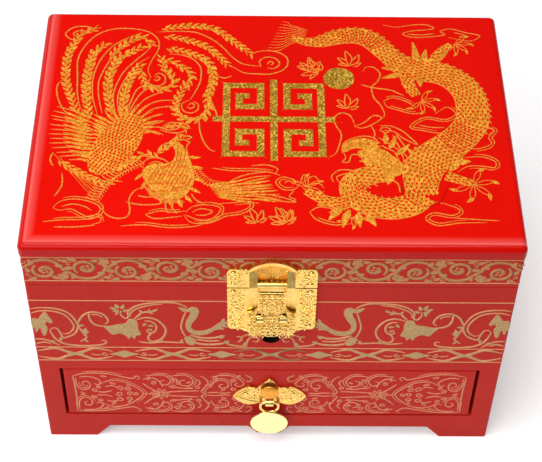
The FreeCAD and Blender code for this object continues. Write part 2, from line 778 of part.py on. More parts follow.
pad(upper_plate, draw(upper_plate, "XZ_Plane", lip, "size.plate_thickness"), "size.lip_thickness")


def nail_spots(low, high):
    """Four nail places in a plate's corners: across, and up from the plate's own origin."""
    return [
        (f"{side} * ({HALF_PLATE} - size.nail_inset)", level)
        for side in (-1, 1)
        for level in (f"{low} + size.nail_inset", f"{high} - size.nail_inset")
    ]


def square(across, up, width):
    return rectangle(f"{across} - {width} / 2", f"{up} - {width} / 2",
                     f"{across} + {width} / 2", f"{up} + {width} / 2")


def nail_holes(body, spots):
    """Square holes through a plate."""
    for across, up in spots:
        cut(body, draw(body, "XZ_Plane", square(across, up, "size.nail_width")), "size.plate_thickness")


upper_nails = nail_spots("size.plate_gap", UPPER_TOP)
nail_holes(upper_plate, upper_nails)
EAR_FRONT = "(-size.hasp_axis_reach - size.ear_radius)"
EAR_LOW = "(size.hasp_axis_height - size.ear_radius)"
ear = [
    ("-size.plate_thickness", EAR_LOW),
    ("-size.plate_thickness", f"{EAR_LOW} + size.ear_height"),
    (EAR_FRONT, "size.hasp_axis_height"),
    ("-size.hasp_axis_reach", EAR_LOW, -QUARTER),
]
for ear_start in (EAR_INSIDE, f"-{EAR_INSIDE} - size.ear_width"):
    pad(upper_plate, draw(upper_plate, "YZ_Plane", ear, ear_start), "size.ear_width")
    pin_hole = [("-size.hasp_axis_reach", "size.hasp_axis_height", "size.hasp_pin_radius")]
    cut(upper_plate, draw_circles(upper_plate, "YZ_Plane", pin_hole, ear_start), "size.ear_width")
place(upper_plate, "0", FRONT, LID_BOTTOM)
keep(upper_plate, "upper_lock_plate")

hasp_pin = rod("hasp_rod", "size.hasp_pin_radius", f"2 * ({EAR_INSIDE} + size.ear_width)", "X",
               f"-{EAR_INSIDE} - size.ear_width", HASP_AXIS_Y, HASP_AXIS_Z)
keep(hasp_pin, "hasp_pin")

# Hasp: a barrel between the ears, a neck with a window, and a broad head with two slots.
hasp = new_body("hasp")
HALF_NECK = "(size.hasp_width / 2)"
HALF_HEAD = "(size.head_width / 2)"
HASP_LOW = "(-size.hasp_drop)"
HEAD_TOP = f"({HASP_LOW} + size.head_height)"
FLARE = f"({HALF_HEAD} - {HALF_NECK})"
LOBE_X = f"({HALF_HEAD} - size.hasp_lobe_radius)"
HASP_BACK = "(size.plate_thickness + 0.6)"


def hasp_half(side):
    """Corners of the hasp's right half (side 1) or left half (side -1), from the barrel to the tip."""
    return [
        (f"{side} * {HALF_NECK}", "0"),
        (f"{side} * {HALF_NECK}", f"{HEAD_TOP} + {FLARE}"),
        (f"{side} * {HALF_HEAD}", HEAD_TOP, -side * QUARTER),
        (f"{side} * {HALF_HEAD}", HASP_LOW),
        (f"{side} * ({LOBE_X} - size.hasp_lobe_radius)", HASP_LOW, side * HALF_ROUND),
        (f"{side} * size.tip_width / 2", HASP_LOW),
    ]


def walk_back(corners):
    """The same open outline walked from its last corner to its first, with its arcs kept."""
    walked = [corners[-1][:2]]
    for before, after in zip(corners[-2::-1], corners[:0:-1]):
        walked.append(before[:2] + tuple(-bulge for bulge in after[2:]))
    return walked


hasp_tip = [("0", f"{HASP_LOW} - size.tip_length")]
hasp_outline = hasp_half(1) + hasp_tip + walk_back(hasp_half(-1))
pad(hasp, draw(hasp, "XZ_Plane", hasp_outline, f"{HASP_BACK} - size.hasp_axis_reach"), "size.hasp_thickness")
barrel_circle = [("0", "0", "size.hasp_barrel_radius")]
pad(hasp, draw_circles(hasp, "YZ_Plane", barrel_circle, f"-{HALF_NECK}"), "size.hasp_width")
hasp_bore = [("0", "0", "size.hasp_pin_radius + size.pin_clearance")]
cut(hasp, draw_circles(hasp, "YZ_Plane", hasp_bore, f"-{HALF_NECK}"), "size.hasp_width")
window = rectangle("-size.window_width / 2", "-size.window_drop - size.window_height",
                   "size.window_width / 2", "-size.window_drop")
HASP_PLANE = f"{HASP_BACK} - size.hasp_axis_reach"
cut(hasp, draw(hasp, "XZ_Plane", window, HASP_PLANE), "size.hasp_thickness")
SLOT_HALF = "(size.staple_width / 2 + size.slot_margin_side)"
SLOT_TOP = "(-size.staple_drop + size.staple_height / 2 + size.slot_margin_end)"
SLOT_LOW = "(-size.staple_drop - size.staple_height / 2 - size.slot_margin_end)"
for sign in ("-", "+"):
    middle = f"{sign} size.staple_spacing / 2"
    slot = rectangle(f"{middle} - {SLOT_HALF}", SLOT_LOW, f"{middle} + {SLOT_HALF}", SLOT_TOP)
    cut(hasp, draw(hasp, "XZ_Plane", slot, HASP_PLANE), "size.hasp_thickness")
place(hasp, "0", HASP_AXIS_Y, HASP_AXIS_Z)
keep(hasp, "hasp")

# Lower plate, with a shallow lobe that frames the hasp's head.
lower_plate = new_body("lower_plate")
LOWER_LOW = "(-size.plate_gap - size.lower_plate_height)"
lower_outline = [
    (f"-{HALF_PLATE}", "-size.plate_gap"),
    *teeth(-1, "-size.plate_gap", f"{LOWER_LOW} + size.plate_corner"),
    (f"-{HALF_PLATE} + size.plate_corner", LOWER_LOW, -QUARTER),
    ("-size.lobe_width / 2", LOWER_LOW),
    ("-size.lobe_width / 2 + size.lobe_slope", f"{LOWER_LOW} - size.lobe_height"),
    ("size.lobe_width / 2 - size.lobe_slope", f"{LOWER_LOW} - size.lobe_height"),
    ("size.lobe_width / 2", LOWER_LOW),
    (f"{HALF_PLATE} - size.plate_corner", LOWER_LOW),
    (HALF_PLATE, f"{LOWER_LOW} + size.plate_corner", -QUARTER),
    *teeth(1, f"{LOWER_LOW} + size.plate_corner", "-size.plate_gap"),
]
pad(lower_plate, draw(lower_plate, "XZ_Plane", lower_outline), "size.plate_thickness")
lower_nails = nail_spots(LOWER_LOW, "-size.plate_gap")
nail_holes(lower_plate, lower_nails)
STAPLE_Z = f"({HASP_AXIS_Z} - size.staple_drop)"
STAPLE_HALF = "(size.staple_height / 2)"
for side in (-1, 1):
    middle = f"{side} * size.staple_spacing / 2"
    level = f"{STAPLE_Z} - size.seam_height"
    leg_slot = rectangle(f"{middle} - size.staple_width / 2", f"{level} - {STAPLE_HALF}",
                         f"{middle} + size.staple_width / 2", f"{level} + {STAPLE_HALF}")
    cut(lower_plate, draw(lower_plate, "XZ_Plane", leg_slot), "size.plate_thickness")
place(lower_plate, "0", FRONT, "size.seam_height")
keep(lower_plate, "lower_lock_plate")

# Staples: a bent strip whose two legs go through the lower plate into the front board.
staple = new_body("staple")
STAPLE_INNER = f"({STAPLE_HALF} - size.staple_thickness)"
STAPLE_FRONT = "(-size.lock_reach)"
STAPLE_TOP_FRONT = f"({STAPLE_FRONT} + {STAPLE_HALF})"
staple_outline = [
    ("size.staple_leg", STAPLE_HALF),
    ("size.staple_leg", STAPLE_INNER),
    (f"{STAPLE_TOP_FRONT}", STAPLE_INNER),
    (f"{STAPLE_TOP_FRONT}", f"-{STAPLE_INNER}", -HALF_ROUND),
    ("size.staple_leg", f"-{STAPLE_INNER}"),
    ("size.staple_leg", f"-{STAPLE_HALF}"),
    (f"{STAPLE_TOP_FRONT}", f"-{STAPLE_HALF}"),
    (f"{STAPLE_TOP_FRONT}", STAPLE_HALF, HALF_ROUND),
]
pad(staple, draw(staple, "YZ_Plane", staple_outline), "size.staple_width")
staple_places = [
    (f"{sign} size.staple_spacing / 2 - size.staple_width / 2", FRONT, STAPLE_Z) for sign in ("-", "+")
]
group("lock_staples", copies("staple", staple, staple_places))

# Brass nails with chamfered heads on square shanks, which hold the plates.
nail = new_body("nail")
pad(nail, draw(nail, "XZ_Plane", polygon("size.nail_head_radius", 8)), "size.nail_head_height")
head_top = -amount("size.nail_head_height")
chamfer(nail, "size.nail_head_chamfer", lambda edge: near(edge.BoundBox.YMax, head_top))
nail_section = square("0", "0", "size.nail_width")
pad(nail, draw(nail, "XZ_Plane", nail_section, "-size.nail_length"), "size.nail_length")


def nails(label, spots, base):
    """Nails at places in a plate whose origin is at the given height."""
    places = [(across, f"{FRONT} - size.plate_thickness", f"{base} + {up}") for across, up in spots]
    group(label, copies(label, nail, places))


nails("upper_plate_pins", upper_nails, LID_BOTTOM)
nails("lower_plate_pins", lower_nails, "size.seam_height")

# Drawer: a thick front, two sides, a back, a bottom in grooves, and its velvet lining.
DRAWER_LOW = f"({RAIL_TOP} + size.drawer_lift)"
DRAWER_TOP = f"({BAY_TOP} - size.drawer_top_gap)"
DRAWER_BACK = f"({BAY_BACK} - size.drawer_back_clearance)"
DRAWER_DEPTH = f"({DRAWER_BACK} - {BAY_FRONT})"
DRAWER_SIDE = f"({BAY_SIDE} - size.drawer_side_clearance)"
DRAWER_INSIDE = f"({DRAWER_SIDE} - size.drawer_board)"
FLOOR_LOW = f"({DRAWER_LOW} + size.drawer_floor_inset)"
FLOOR_TOP = f"({FLOOR_LOW} + size.drawer_floor_thickness)"
FACE_LOW = f"({RAIL_TOP} + size.drawer_gap)"
FACE_HEIGHT = "(size.opening_height - 2 * size.drawer_gap)"
FACE_HALF = f"({BAY_SIDE} - size.drawer_side_gap)"

drawer_face = new_body("drawer_face")
face_outline = rectangle(f"-{FACE_HALF}", "0", FACE_HALF, FACE_HEIGHT)
pad(drawer_face, draw(drawer_face, "XZ_Plane", face_outline), "size.end_board")
face_front = amount("-size.end_board")
soften(drawer_face, "size.edge_rounding", lambda edge: near(edge.BoundBox.YMax, face_front))
face_groove = rectangle("-size.drawer_groove", f"{FLOOR_LOW} - {FACE_LOW}", "0", f"{FLOOR_TOP} - {FACE_LOW}")
cut(drawer_face, draw(drawer_face, "YZ_Plane", face_groove, f"-{DRAWER_INSIDE} - size.drawer_groove"),
    f"2 * ({DRAWER_INSIDE} + size.drawer_groove)")
PULL_LEVEL = f"(size.pull_axis_level - {FACE_LOW})"
nut_pocket = [("0", PULL_LEVEL, "size.nut_radius + size.nut_clearance")]
cut(drawer_face, draw_circles(drawer_face, "XZ_Plane", nut_pocket), "size.nut_recess")
shank_hole = [("0", PULL_LEVEL, "size.shank_radius + size.shank_clearance")]
cut(drawer_face, draw_circles(drawer_face, "XZ_Plane", shank_hole), "size.end_board")
place(drawer_face, "0", BAY_FRONT, FACE_LOW)
keep(drawer_face, "drawer_front")


def drawer_side(label, across, groove_start):
    body = new_body(label)
    pad(body, draw(body, "YZ_Plane", rectangle("0", "0", DRAWER_DEPTH, f"{DRAWER_TOP} - {DRAWER_LOW}")),
        "size.drawer_board")
    groove = rectangle("0", "size.drawer_floor_inset", DRAWER_DEPTH,
                       "size.drawer_floor_inset + size.drawer_floor_thickness")
    cut(body, draw(body, "YZ_Plane", groove, groove_start), "size.drawer_groove")
    place(body, across, BAY_FRONT, DRAWER_LOW)
    return keep(body, label)


drawer_side("drawer_left", f"-{DRAWER_SIDE}", "size.drawer_board - size.drawer_groove")
drawer_side("drawer_right", DRAWER_INSIDE, "0")
drawer_back = block("drawer_back_board", f"2 * {DRAWER_INSIDE}", "size.drawer_board",
                    f"{DRAWER_TOP} - {FLOOR_TOP}",
                    f"-{DRAWER_INSIDE}", f"{DRAWER_BACK} - size.drawer_board", FLOOR_TOP)
keep(drawer_back, "drawer_back")
DRAWER_FLOOR_SIDE = f"({DRAWER_INSIDE} + size.drawer_groove)"
drawer_floor = block("drawer_floor", f"2 * {DRAWER_FLOOR_SIDE}", f"{DRAWER_DEPTH} + size.drawer_groove",
                     "size.drawer_floor_thickness",
                     f"-{DRAWER_FLOOR_SIDE}", f"{BAY_FRONT} - size.drawer_groove", FLOOR_LOW)
keep(drawer_floor, "drawer_bottom")
BOX_DEPTH = f"({DRAWER_DEPTH} - size.drawer_board)"
LINING_HEIGHT = f"({DRAWER_TOP} - {FLOOR_TOP} - size.lining_drop)"
lining("drawer_lining", f"2 * {DRAWER_INSIDE}", BOX_DEPTH, LINING_HEIGHT,
       f"-{DRAWER_INSIDE}", BAY_FRONT, FLOOR_TOP)
dividers = [
    block(f"drawer_divider_{number}", "size.divider_thickness", f"{BOX_DEPTH} - 2 * size.lining_thickness",
          "size.drawer_divider_height", across, f"{BAY_FRONT} + size.lining_thickness",
          f"{FLOOR_TOP} + size.lining_thickness")
    for number, across in enumerate(("-size.drawer_cell_width / 2 - size.divider_thickness",
                                     "size.drawer_cell_width / 2"))
]
group("drawer_dividers", dividers)

# Stop block under the shelf: the drawer's back meets it at the end of the travel.
STOP_BACK = f"({DRAWER_BACK} - size.drawer_board - size.drawer_travel - size.stop_clearance)"
stop = block("stop", "size.stop_width", "size.stop_thickness", "size.stop_height", "-size.stop_width / 2",
             f"{STOP_BACK} - size.stop_thickness", f"{BAY_TOP} - size.stop_height")
keep(stop, "drawer_stop")

# Drawer pull: a bat shaped plate, a post with an eye, and a ring with a round drop.
pull_plate = new_body("pull_plate_body")


def wing(side):
    """Corners of the plate's right wing (side 1) or left wing (side -1), from the peak down."""
    return [
        ("0", "size.pull_plate_rise"),
        (f"{side} * size.pull_notch_width / 2", "size.pull_notch_rise", -side * SLACK),
        (f"{side} * size.pull_bump_width / 2", "size.pull_bump_rise", -side * SLACK),
        (f"{side} * size.pull_plate_width / 2", "size.pull_tip_level", side * SLACK),
        (f"{side} * size.pull_lobe_width / 2", "-size.pull_plate_fall", side * SLACK),
        (f"{side} * size.eye_width", "-size.eye_radius", side * SLACK),
    ]


plate_outline = wing(1) + walk_back(wing(-1))[:-1]
pad(pull_plate, draw(pull_plate, "XZ_Plane", plate_outline), "size.plate_thickness")
plate_hole = [("0", "0", "size.shank_radius + size.shank_clearance")]
cut(pull_plate, draw_circles(pull_plate, "XZ_Plane", plate_hole), "size.plate_thickness")
pull_nails = [(f"{side} * size.pull_nail_spacing / 2", "size.pull_nail_rise") for side in (-1, 1)]
nail_holes(pull_plate, pull_nails)
place(pull_plate, "0", FRONT, "size.pull_axis_level")
keep(pull_plate, "pull_plate")
nails("pull_plate_pins", pull_nails, "size.pull_axis_level")

post = new_body("post")
eye_outline = [
    ("-size.plate_thickness", "-size.eye_radius"),
    ("-size.plate_thickness", "size.eye_radius"),
    ("-size.pull_axis_reach", "size.eye_radius"),
    ("-size.pull_axis_reach", "-size.eye_radius", -HALF_ROUND),
]
pad(post, draw(post, "YZ_Plane", eye_outline, "-size.eye_width / 2"), "size.eye_width")
eye_hole = [("-size.pull_axis_reach", "0", "size.wire_radius + size.eye_clearance")]
cut(post, draw_circles(post, "YZ_Plane", eye_hole, "-size.eye_width / 2"), "size.eye_width")
SHANK_END = "(size.end_board - size.nut_recess + size.nut_thickness + size.nut_clearance)"
pad(post, draw_circles(post, "XZ_Plane", [("0", "0", "size.shank_radius")], f"-{SHANK_END}"),
    f"{SHANK_END} + size.plate_thickness")
place(post, "0", FRONT, "size.pull_axis_level")
keep(post, "pull_post")

nut = new_body("nut")
pad(nut, draw(nut, "XZ_Plane", polygon("size.nut_radius", 6)), "size.nut_thickness")
nut_bore = [("0", "0", "size.shank_radius + size.pin_clearance")]
cut(nut, draw_circles(nut, "XZ_Plane", nut_bore), "size.nut_thickness")
place(nut, "0", f"{BAY_FRONT} - size.nut_recess + size.nut_thickness", "size.pull_axis_level")
keep(nut, "pull_nut")

# The ring's six-sided wire runs straight through the eye, then round its shoulders and half circle.
ring = new_body("ring")
RING_HALF = "(size.ring_width / 2)"
RING_BAR = f"({RING_HALF} - size.ring_shoulder)"
RING_FALL = "(-size.ring_shoulder - size.ring_straight)"
wire_line = draw(ring, "XZ_Plane", [
    (RING_BAR, "0"),
    (RING_HALF, "-size.ring_shoulder", QUARTER),
    (RING_HALF, RING_FALL),
    (f"-{RING_HALF}", RING_FALL, HALF_ROUND),
    (f"-{RING_HALF}", "-size.ring_shoulder"),
    (f"-{RING_BAR}", "0", QUARTER),
])
wire = ring.newObject("PartDesign::AdditivePipe", "wire")
wire.Profile = draw(ring, "YZ_Plane", polygon("size.wire_radius", 6), f"-{RING_BAR}")
wire.Spine = (wire_line, [])
doc.recompute()
place(ring, "0", f"{FRONT} - size.pull_axis_reach", "size.pull_axis_level")
keep(ring, "pull_ring")

RING_LOW = "(size.ring_shoulder + size.ring_straight + size.ring_width / 2 + size.wire_radius)"
DISC_MIDDLE = f"(size.pull_axis_level - {RING_LOW} + size.disc_lap - size.disc_radius)"
disc = new_body("disc")
pad(disc, draw_circles(disc, "XZ_Plane", [("0", "0", "size.disc_radius")]), "size.disc_thickness")
chamfer(disc, "size.disc_chamfer", lambda edge: edge.Curve.TypeId == "Part::GeomCircle")
WIRE_FLAT = "(size.wire_radius * cos(30 * 1deg))"
place(disc, "0", f"{FRONT} - size.pull_axis_reach - {WIRE_FLAT}", DISC_MIDDLE)
keep(disc, "pull_disc")

# Lift-out tray on the ledges: four walls, a floor, dividers, and the row of ring rolls.
TRAY_SIDE = f"({BAY_SIDE} - size.tray_clearance)"
TRAY_FRONT = f"({BAY_FRONT} + size.tray_clearance)"
TRAY_DEPTH = f"({BAY_DEPTH} - 2 * size.tray_clearance)"
TRAY_LOW = "(size.ledge_level + size.tray_lift)"
TRAY_INSIDE = f"({TRAY_SIDE} - size.tray_board)"
TRAY_INNER_FRONT = f"({TRAY_FRONT} + size.tray_board)"
TRAY_INNER_DEPTH = f"({TRAY_DEPTH} - 2 * size.tray_board)"
TRAY_FLOOR_TOP = f"({TRAY_LOW} + size.tray_floor_thickness)"


def tray_end(label, along):
    wall = block(f"{label}_wall", f"2 * {TRAY_INSIDE}", "size.tray_board", "size.tray_height",
                 f"-{TRAY_INSIDE}", along, TRAY_LOW)
    return keep(wall, label)


tray_end("tray_front", TRAY_FRONT)
tray_end("tray_back", f"{TRAY_FRONT} + {TRAY_DEPTH} - size.tray_board")


def tray_side(label, across):
    """A tray side with a round notch for a finger in its top edge."""
    body = new_body(label)
    dip = "size.notch_depth / (2 * size.notch_radius)"
    outline = [
        ("0", "0"),
        (TRAY_DEPTH, "0"),
        (TRAY_DEPTH, "size.tray_height"),
        (f"{TRAY_DEPTH} / 2 + size.notch_radius", "size.tray_height"),
        (f"{TRAY_DEPTH} / 2 - size.notch_radius", "size.tray_height", dip),
        ("0", "size.tray_height"),
    ]
    pad(body, draw(body, "YZ_Plane", outline), "size.tray_board")
    place(body, across, TRAY_FRONT, TRAY_LOW)
    return keep(body, label)


tray_side("tray_left", f"-{TRAY_SIDE}")
tray_side("tray_right", TRAY_INSIDE)
tray_floor = block("tray_floor_panel", f"2 * {TRAY_INSIDE}", TRAY_INNER_DEPTH, "size.tray_floor_thickness",
                   f"-{TRAY_INSIDE}", TRAY_INNER_FRONT, TRAY_LOW)
keep(tray_floor, "tray_floor")
CROSS_X = f"(size.ring_field_width - {TRAY_INSIDE})"
CELLS_X = f"({CROSS_X} + size.divider_thickness)"
CELLS_WIDTH = f"({TRAY_INSIDE} - {CELLS_X})"
TRAY_MIDDLE = f"({TRAY_INNER_FRONT} + ({TRAY_INNER_DEPTH} - size.divider_thickness) / 2)"
SHORT_X = f"({CELLS_X} + ({CELLS_WIDTH} - size.divider_thickness) / 2)"
cross_divider = block("cross_divider", "size.divider_thickness", TRAY_INNER_DEPTH,
                      "size.tray_divider_height", CROSS_X, TRAY_INNER_FRONT, TRAY_FLOOR_TOP)
keep(cross_divider, "tray_cross_divider")
long_divider = block("long_divider", CELLS_WIDTH, "size.divider_thickness",
                     "size.tray_divider_height", CELLS_X, TRAY_MIDDLE, TRAY_FLOOR_TOP)
keep(long_divider, "tray_long_divider")
short_divider = block("short_divider", "size.divider_thickness", f"{TRAY_MIDDLE} - {TRAY_INNER_FRONT}",
                      "size.tray_divider_height", SHORT_X, TRAY_INNER_FRONT, TRAY_FLOOR_TOP)
keep(short_divider, "tray_short_divider")
ROLL_LENGTH = "(size.ring_field_width - 2 * size.roll_clearance)"
roll_room = amount(f"{TRAY_INNER_DEPTH} - 2 * size.roll_radius")
roll_count = int(roll_room / amount("size.roll_pitch")) + 1
FIRST_ROLL = f"({TRAY_INNER_FRONT} + ({TRAY_INNER_DEPTH} - {roll_count - 1} * size.roll_pitch) / 2)"
ROLL_LEVEL = f"({TRAY_FLOOR_TOP} + size.roll_clearance + size.roll_radius)"
roll = new_body("roll")
pad(roll, draw(roll, "YZ_Plane", polygon("size.roll_radius", 14)), ROLL_LENGTH)
roll_places = [
    (f"-{TRAY_INSIDE} + size.roll_clearance", f"{FIRST_ROLL} + {number} * size.roll_pitch", ROLL_LEVEL)
    for number in range(roll_count)
]
group("ring_rolls", copies("ring_roll", roll, roll_places))


def check_document():
    """Stops the build if an object failed or a sub-part's shape is missing or broken."""
    doc.recompute()
    for item in doc.Objects:
        if "Invalid" in item.State or "Error" in item.State:
            raise ValueError(f"{item.Name} did not compute: {item.State}")
    for item in kept:
        shape = Part.getShape(item)
        if shape.isNull() or not shape.isValid() or not shape.Solids:
            raise ValueError(f"{item.Label} has no valid shape")


check_document()
os.makedirs("parts", exist_ok=True)
for item in kept:
    Part.getShape(item).exportStep(f"parts/{item.Label}.step")
    print(f"{item.Label}: {len(Part.getShape(item).Solids)} solid(s)")
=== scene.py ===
"""Looks of the tiered jewelry box: red lacquer with gold line work, brass lock and pull, velvet inside."""

import math
import random

import bmesh
import bpy
from bpy.props import FloatProperty, FloatVectorProperty, IntProperty, PointerProperty
from mathutils import Matrix, Vector


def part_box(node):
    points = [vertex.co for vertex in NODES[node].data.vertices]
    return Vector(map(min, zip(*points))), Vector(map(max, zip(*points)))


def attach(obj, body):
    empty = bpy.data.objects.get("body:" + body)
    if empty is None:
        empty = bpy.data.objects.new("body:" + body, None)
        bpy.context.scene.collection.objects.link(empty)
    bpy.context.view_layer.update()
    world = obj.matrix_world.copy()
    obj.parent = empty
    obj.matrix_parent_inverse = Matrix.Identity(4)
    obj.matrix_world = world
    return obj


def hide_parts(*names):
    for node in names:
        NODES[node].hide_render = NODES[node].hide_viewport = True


bl_info = {
    "name": "Tiered Jewelry Box",
    "version": (1, 0, 0),
    "blender": (4, 5, 0),
    "location": "View3D > Sidebar > Jewelry Box",
    "description": "Dresses the packed jewelry box with lacquer, gold line work, brass and velvet",
    "category": "Object",
}

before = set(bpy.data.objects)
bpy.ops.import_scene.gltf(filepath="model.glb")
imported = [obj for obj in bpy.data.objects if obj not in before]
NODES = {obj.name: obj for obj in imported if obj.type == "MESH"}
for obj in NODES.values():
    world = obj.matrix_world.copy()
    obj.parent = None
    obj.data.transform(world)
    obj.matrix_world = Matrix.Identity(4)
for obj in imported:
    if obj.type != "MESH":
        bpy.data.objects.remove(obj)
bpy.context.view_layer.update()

# Listed measures are in millimetres. SINK is how deep a raised shape stands in its face.
MM = 0.001
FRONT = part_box("lid_front")[0].y / MM
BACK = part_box("lid_back")[1].y / MM
MIDDLE = (FRONT + BACK) / 2
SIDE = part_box("side_right")[1].x / MM
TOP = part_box("lid_top")[1].z / MM
SINK = 0.12


def size(name, description, default, **limits):
    return FloatProperty(name=name, description=description, default=default, unit="LENGTH", **limits)


def colour(name, description, default):
    return FloatVectorProperty(name=name, description=description, default=default, size=3,
                               subtype="COLOR", min=0.0, max=1.0)


class LacquerSettings(bpy.types.PropertyGroup):
    """Colours of the lacquered boards and of the gold on them."""

    top: colour("Lid red", "Gloss lacquer of the lid's top board", (0.66, 0.0036, 0.0006))
    sides: colour("Case red", "Lacquer of the case, the lid's sides and the drawer", (0.50, 0.0175, 0.0095))
    top_gold: colour("Lid gold", "Line work on the lid", (0.92, 0.215, 0.016))
    fill_gold: colour("Glitter gold", "Filled feathers and scales on the lid", (0.84, 0.285, 0.013))
    emblem_gold: colour("Emblem gold", "Medallion and disc on the lid", (0.47, 0.225, 0.012))
    band_gold: colour("Band gold", "Beasts and leaves on the bands", (0.48, 0.29, 0.10))
    scroll_gold: colour("Scroll gold", "Scroll round the lid", (0.48, 0.20, 0.055))
    vine_gold: colour("Vine gold", "Stems and lines on the bands", (0.68, 0.29, 0.115))
    drawer_gold: colour("Drawer gold", "Scrolls on the drawer front", (0.74, 0.235, 0.11))
    line_height: size("Line height", "How far a gold line stands proud", 0.00014, min=0.00005, max=0.0005)


class MetalSettings(bpy.types.PropertyGroup):
    """Colours of the brass fittings."""

    bright: colour("Bright brass", "Raised and polished brass", (0.96, 0.70, 0.22))
    amber: colour("Amber brass", "Brass in the hollows of the relief", (0.72, 0.33, 0.045))
    # Amber also colours the painted shade laid in the hollow under the lock's arch.
    pale: colour("Pale brass", "The pull's smooth disc", (0.97, 0.86, 0.42))
    relief: size("Relief height", "How far the floral relief stands proud", 0.0006, min=0.0002, max=0.002)


class InsideSettings(bpy.types.PropertyGroup):
    """Colours and softness of what is inside."""

    velvet: colour("Velvet", "Pile of the linings, rolls and tray", (0.23, 0.006, 0.012))
    wood: colour("Inner wood", "Stained wood inside the case and under the velvet", (0.16, 0.040, 0.016))
    pressure: FloatProperty(name="Stuffing", description="Pressure inside the rolls", default=4.0,
                            min=0.5, max=10.0)
    frames: IntProperty(name="Settling frames", description="Frames that the stuffing takes", default=20,
                        min=5, max=40)


def settings():
    scene = bpy.context.scene
    return scene.box_lacquer, scene.box_metal, scene.box_inside


# ---- finishes -------------------------------------------------------------------------------

class Finish:
    """A node material that is built up step by step."""

    made = {}

    def __init__(self, name):
        self.material = bpy.data.materials.new(name)
        self.material.use_nodes = True
        self.tree = self.material.node_tree
        self.shader = self.tree.nodes["Principled BSDF"]
        self.place = self.add("ShaderNodeTexCoord").outputs["Object"]
        Finish.made[name] = self.material

    def add(self, kind, **values):
        node = self.tree.nodes.new(kind)
        for key, value in values.items():
            setattr(node, key, value)
        return node

    def link(self, source, target):
        self.tree.links.new(source, target)

    def stretched(self, scale):
        """Object coordinates stretched along the axes."""
        mapping = self.add("ShaderNodeMapping")
        mapping.inputs["Scale"].default_value = scale
        self.link(self.place, mapping.inputs["Vector"])
        return mapping.outputs["Vector"]

    def noise(self, scale, detail=3.0, rough=0.55, place=None):
        node = self.add("ShaderNodeTexNoise")
        node.inputs["Scale"].default_value = scale
        node.inputs["Detail"].default_value = detail
        node.inputs["Roughness"].default_value = rough
        self.link(place or self.place, node.inputs["Vector"])
        return node.outputs["Fac"]

    def cells(self, scale, output="Color"):
        node = self.add("ShaderNodeTexVoronoi")
        node.inputs["Scale"].default_value = scale
        self.link(self.place, node.inputs["Vector"])
        return node.outputs[output]

    def ramp(self, source, *stops):
        """Colours or greys at places along a value."""
        node = self.add("ShaderNodeValToRGB")
        elements = node.color_ramp.elements
        while len(elements) < len(stops):
            elements.new(0.5)
        for element, (position, value) in zip(elements, stops):
            element.position = position
            rgb = (value,) * 3 if isinstance(value, (int, float)) else value
            element.color = (*rgb, 1.0)
        self.link(source, node.inputs["Fac"])
        return node.outputs["Color"]

    def feed(self, socket, value):
        """Links another node's value to a socket, or sets a fixed one."""
        if isinstance(value, bpy.types.NodeSocket):
            self.link(value, socket)
        else:
            socket.default_value = value if isinstance(value, (int, float)) else (*value, 1.0)

    def mix(self, amount, first, second):
        """Blends two colours by a fixed amount or by another node's value."""
        node = self.add("ShaderNodeMix", data_type="RGBA")
        self.feed(node.inputs["Factor"], amount)
        self.feed(node.inputs[6], first)
        self.feed(node.inputs[7], second)
        return node.outputs[2]

    def math(self, operation, *values):
        node = self.add("ShaderNodeMath", operation=operation)
        for socket, value in zip(node.inputs, values):
            self.feed(socket, value)
        return node.outputs[0]

    def bump(self, source, strength, distance, below=None):
        node = self.add("ShaderNodeBump")
        node.inputs["Strength"].default_value = strength
        node.inputs["Distance"].default_value = distance
        self.link(source, node.inputs["Height"])
        if below:
            self.link(below, node.inputs["Normal"])
        return node.outputs["Normal"]

    def finish(self, base, rough=None, normal=None, **fixed):
        """Joins the nodes to the shader and sets what is the same all over."""
        for source, name in ((base, "Base Color"), (rough, "Roughness"), (normal, "Normal")):
            if source:
                self.link(source, self.shader.inputs[name])
        for name, value in fixed.items():
            self.shader.inputs[name.replace("_", " ")].default_value = value


def shade(rgb, factor):
    return tuple(min(1.0, channel * factor) for channel in rgb)


def painted_edge_light(finish, tone, rgb):
    """Painted highlight and shade on the lid board: a pink band just in from the front and left edges stands
    in for a lamp's reflection on the rounded edge, and the outermost edge and the upright sides are painted
    darker as shade.
    """
    place = finish.add("ShaderNodeSeparateXYZ")
    finish.link(finish.place, place.inputs[0])
    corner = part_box("lid_top")[0]
    # Centimetres from the board's left and front edges, and from a level 10 mm below its top.
    across, along, up = (
        finish.math("MULTIPLY_ADD", place.outputs[axis], 100.0, -100.0 * start)
        for axis, start in enumerate((corner.x, corner.y, (TOP - 10.0) * MM))
    )
    nearest = finish.math("MINIMUM", across, along)
    # Painted highlight: a pink band from 3 to 10 mm in from the nearer of the front and left edges.
    thin = finish.ramp(nearest, (0.30, 0.0), (0.43, 1.0), (0.58, 0.50), (1.05, 0.0))
    tone = finish.mix(thin, tone, (0.74, 0.115, 0.10))
    # Painted shade: darker in the outermost 2.5 to 4 mm.
    outer = finish.ramp(nearest, (0.25, 1.0), (0.40, 0.0))
    tone = finish.mix(outer, tone, shade(rgb, 0.74))
    # Painted shade: darker down the upright sides, from 2 to 4 mm below the top and all the way below that.
    return finish.mix(finish.ramp(up, (0.60, 1.0), (0.80, 0.0)), tone, shade(rgb, 0.70))


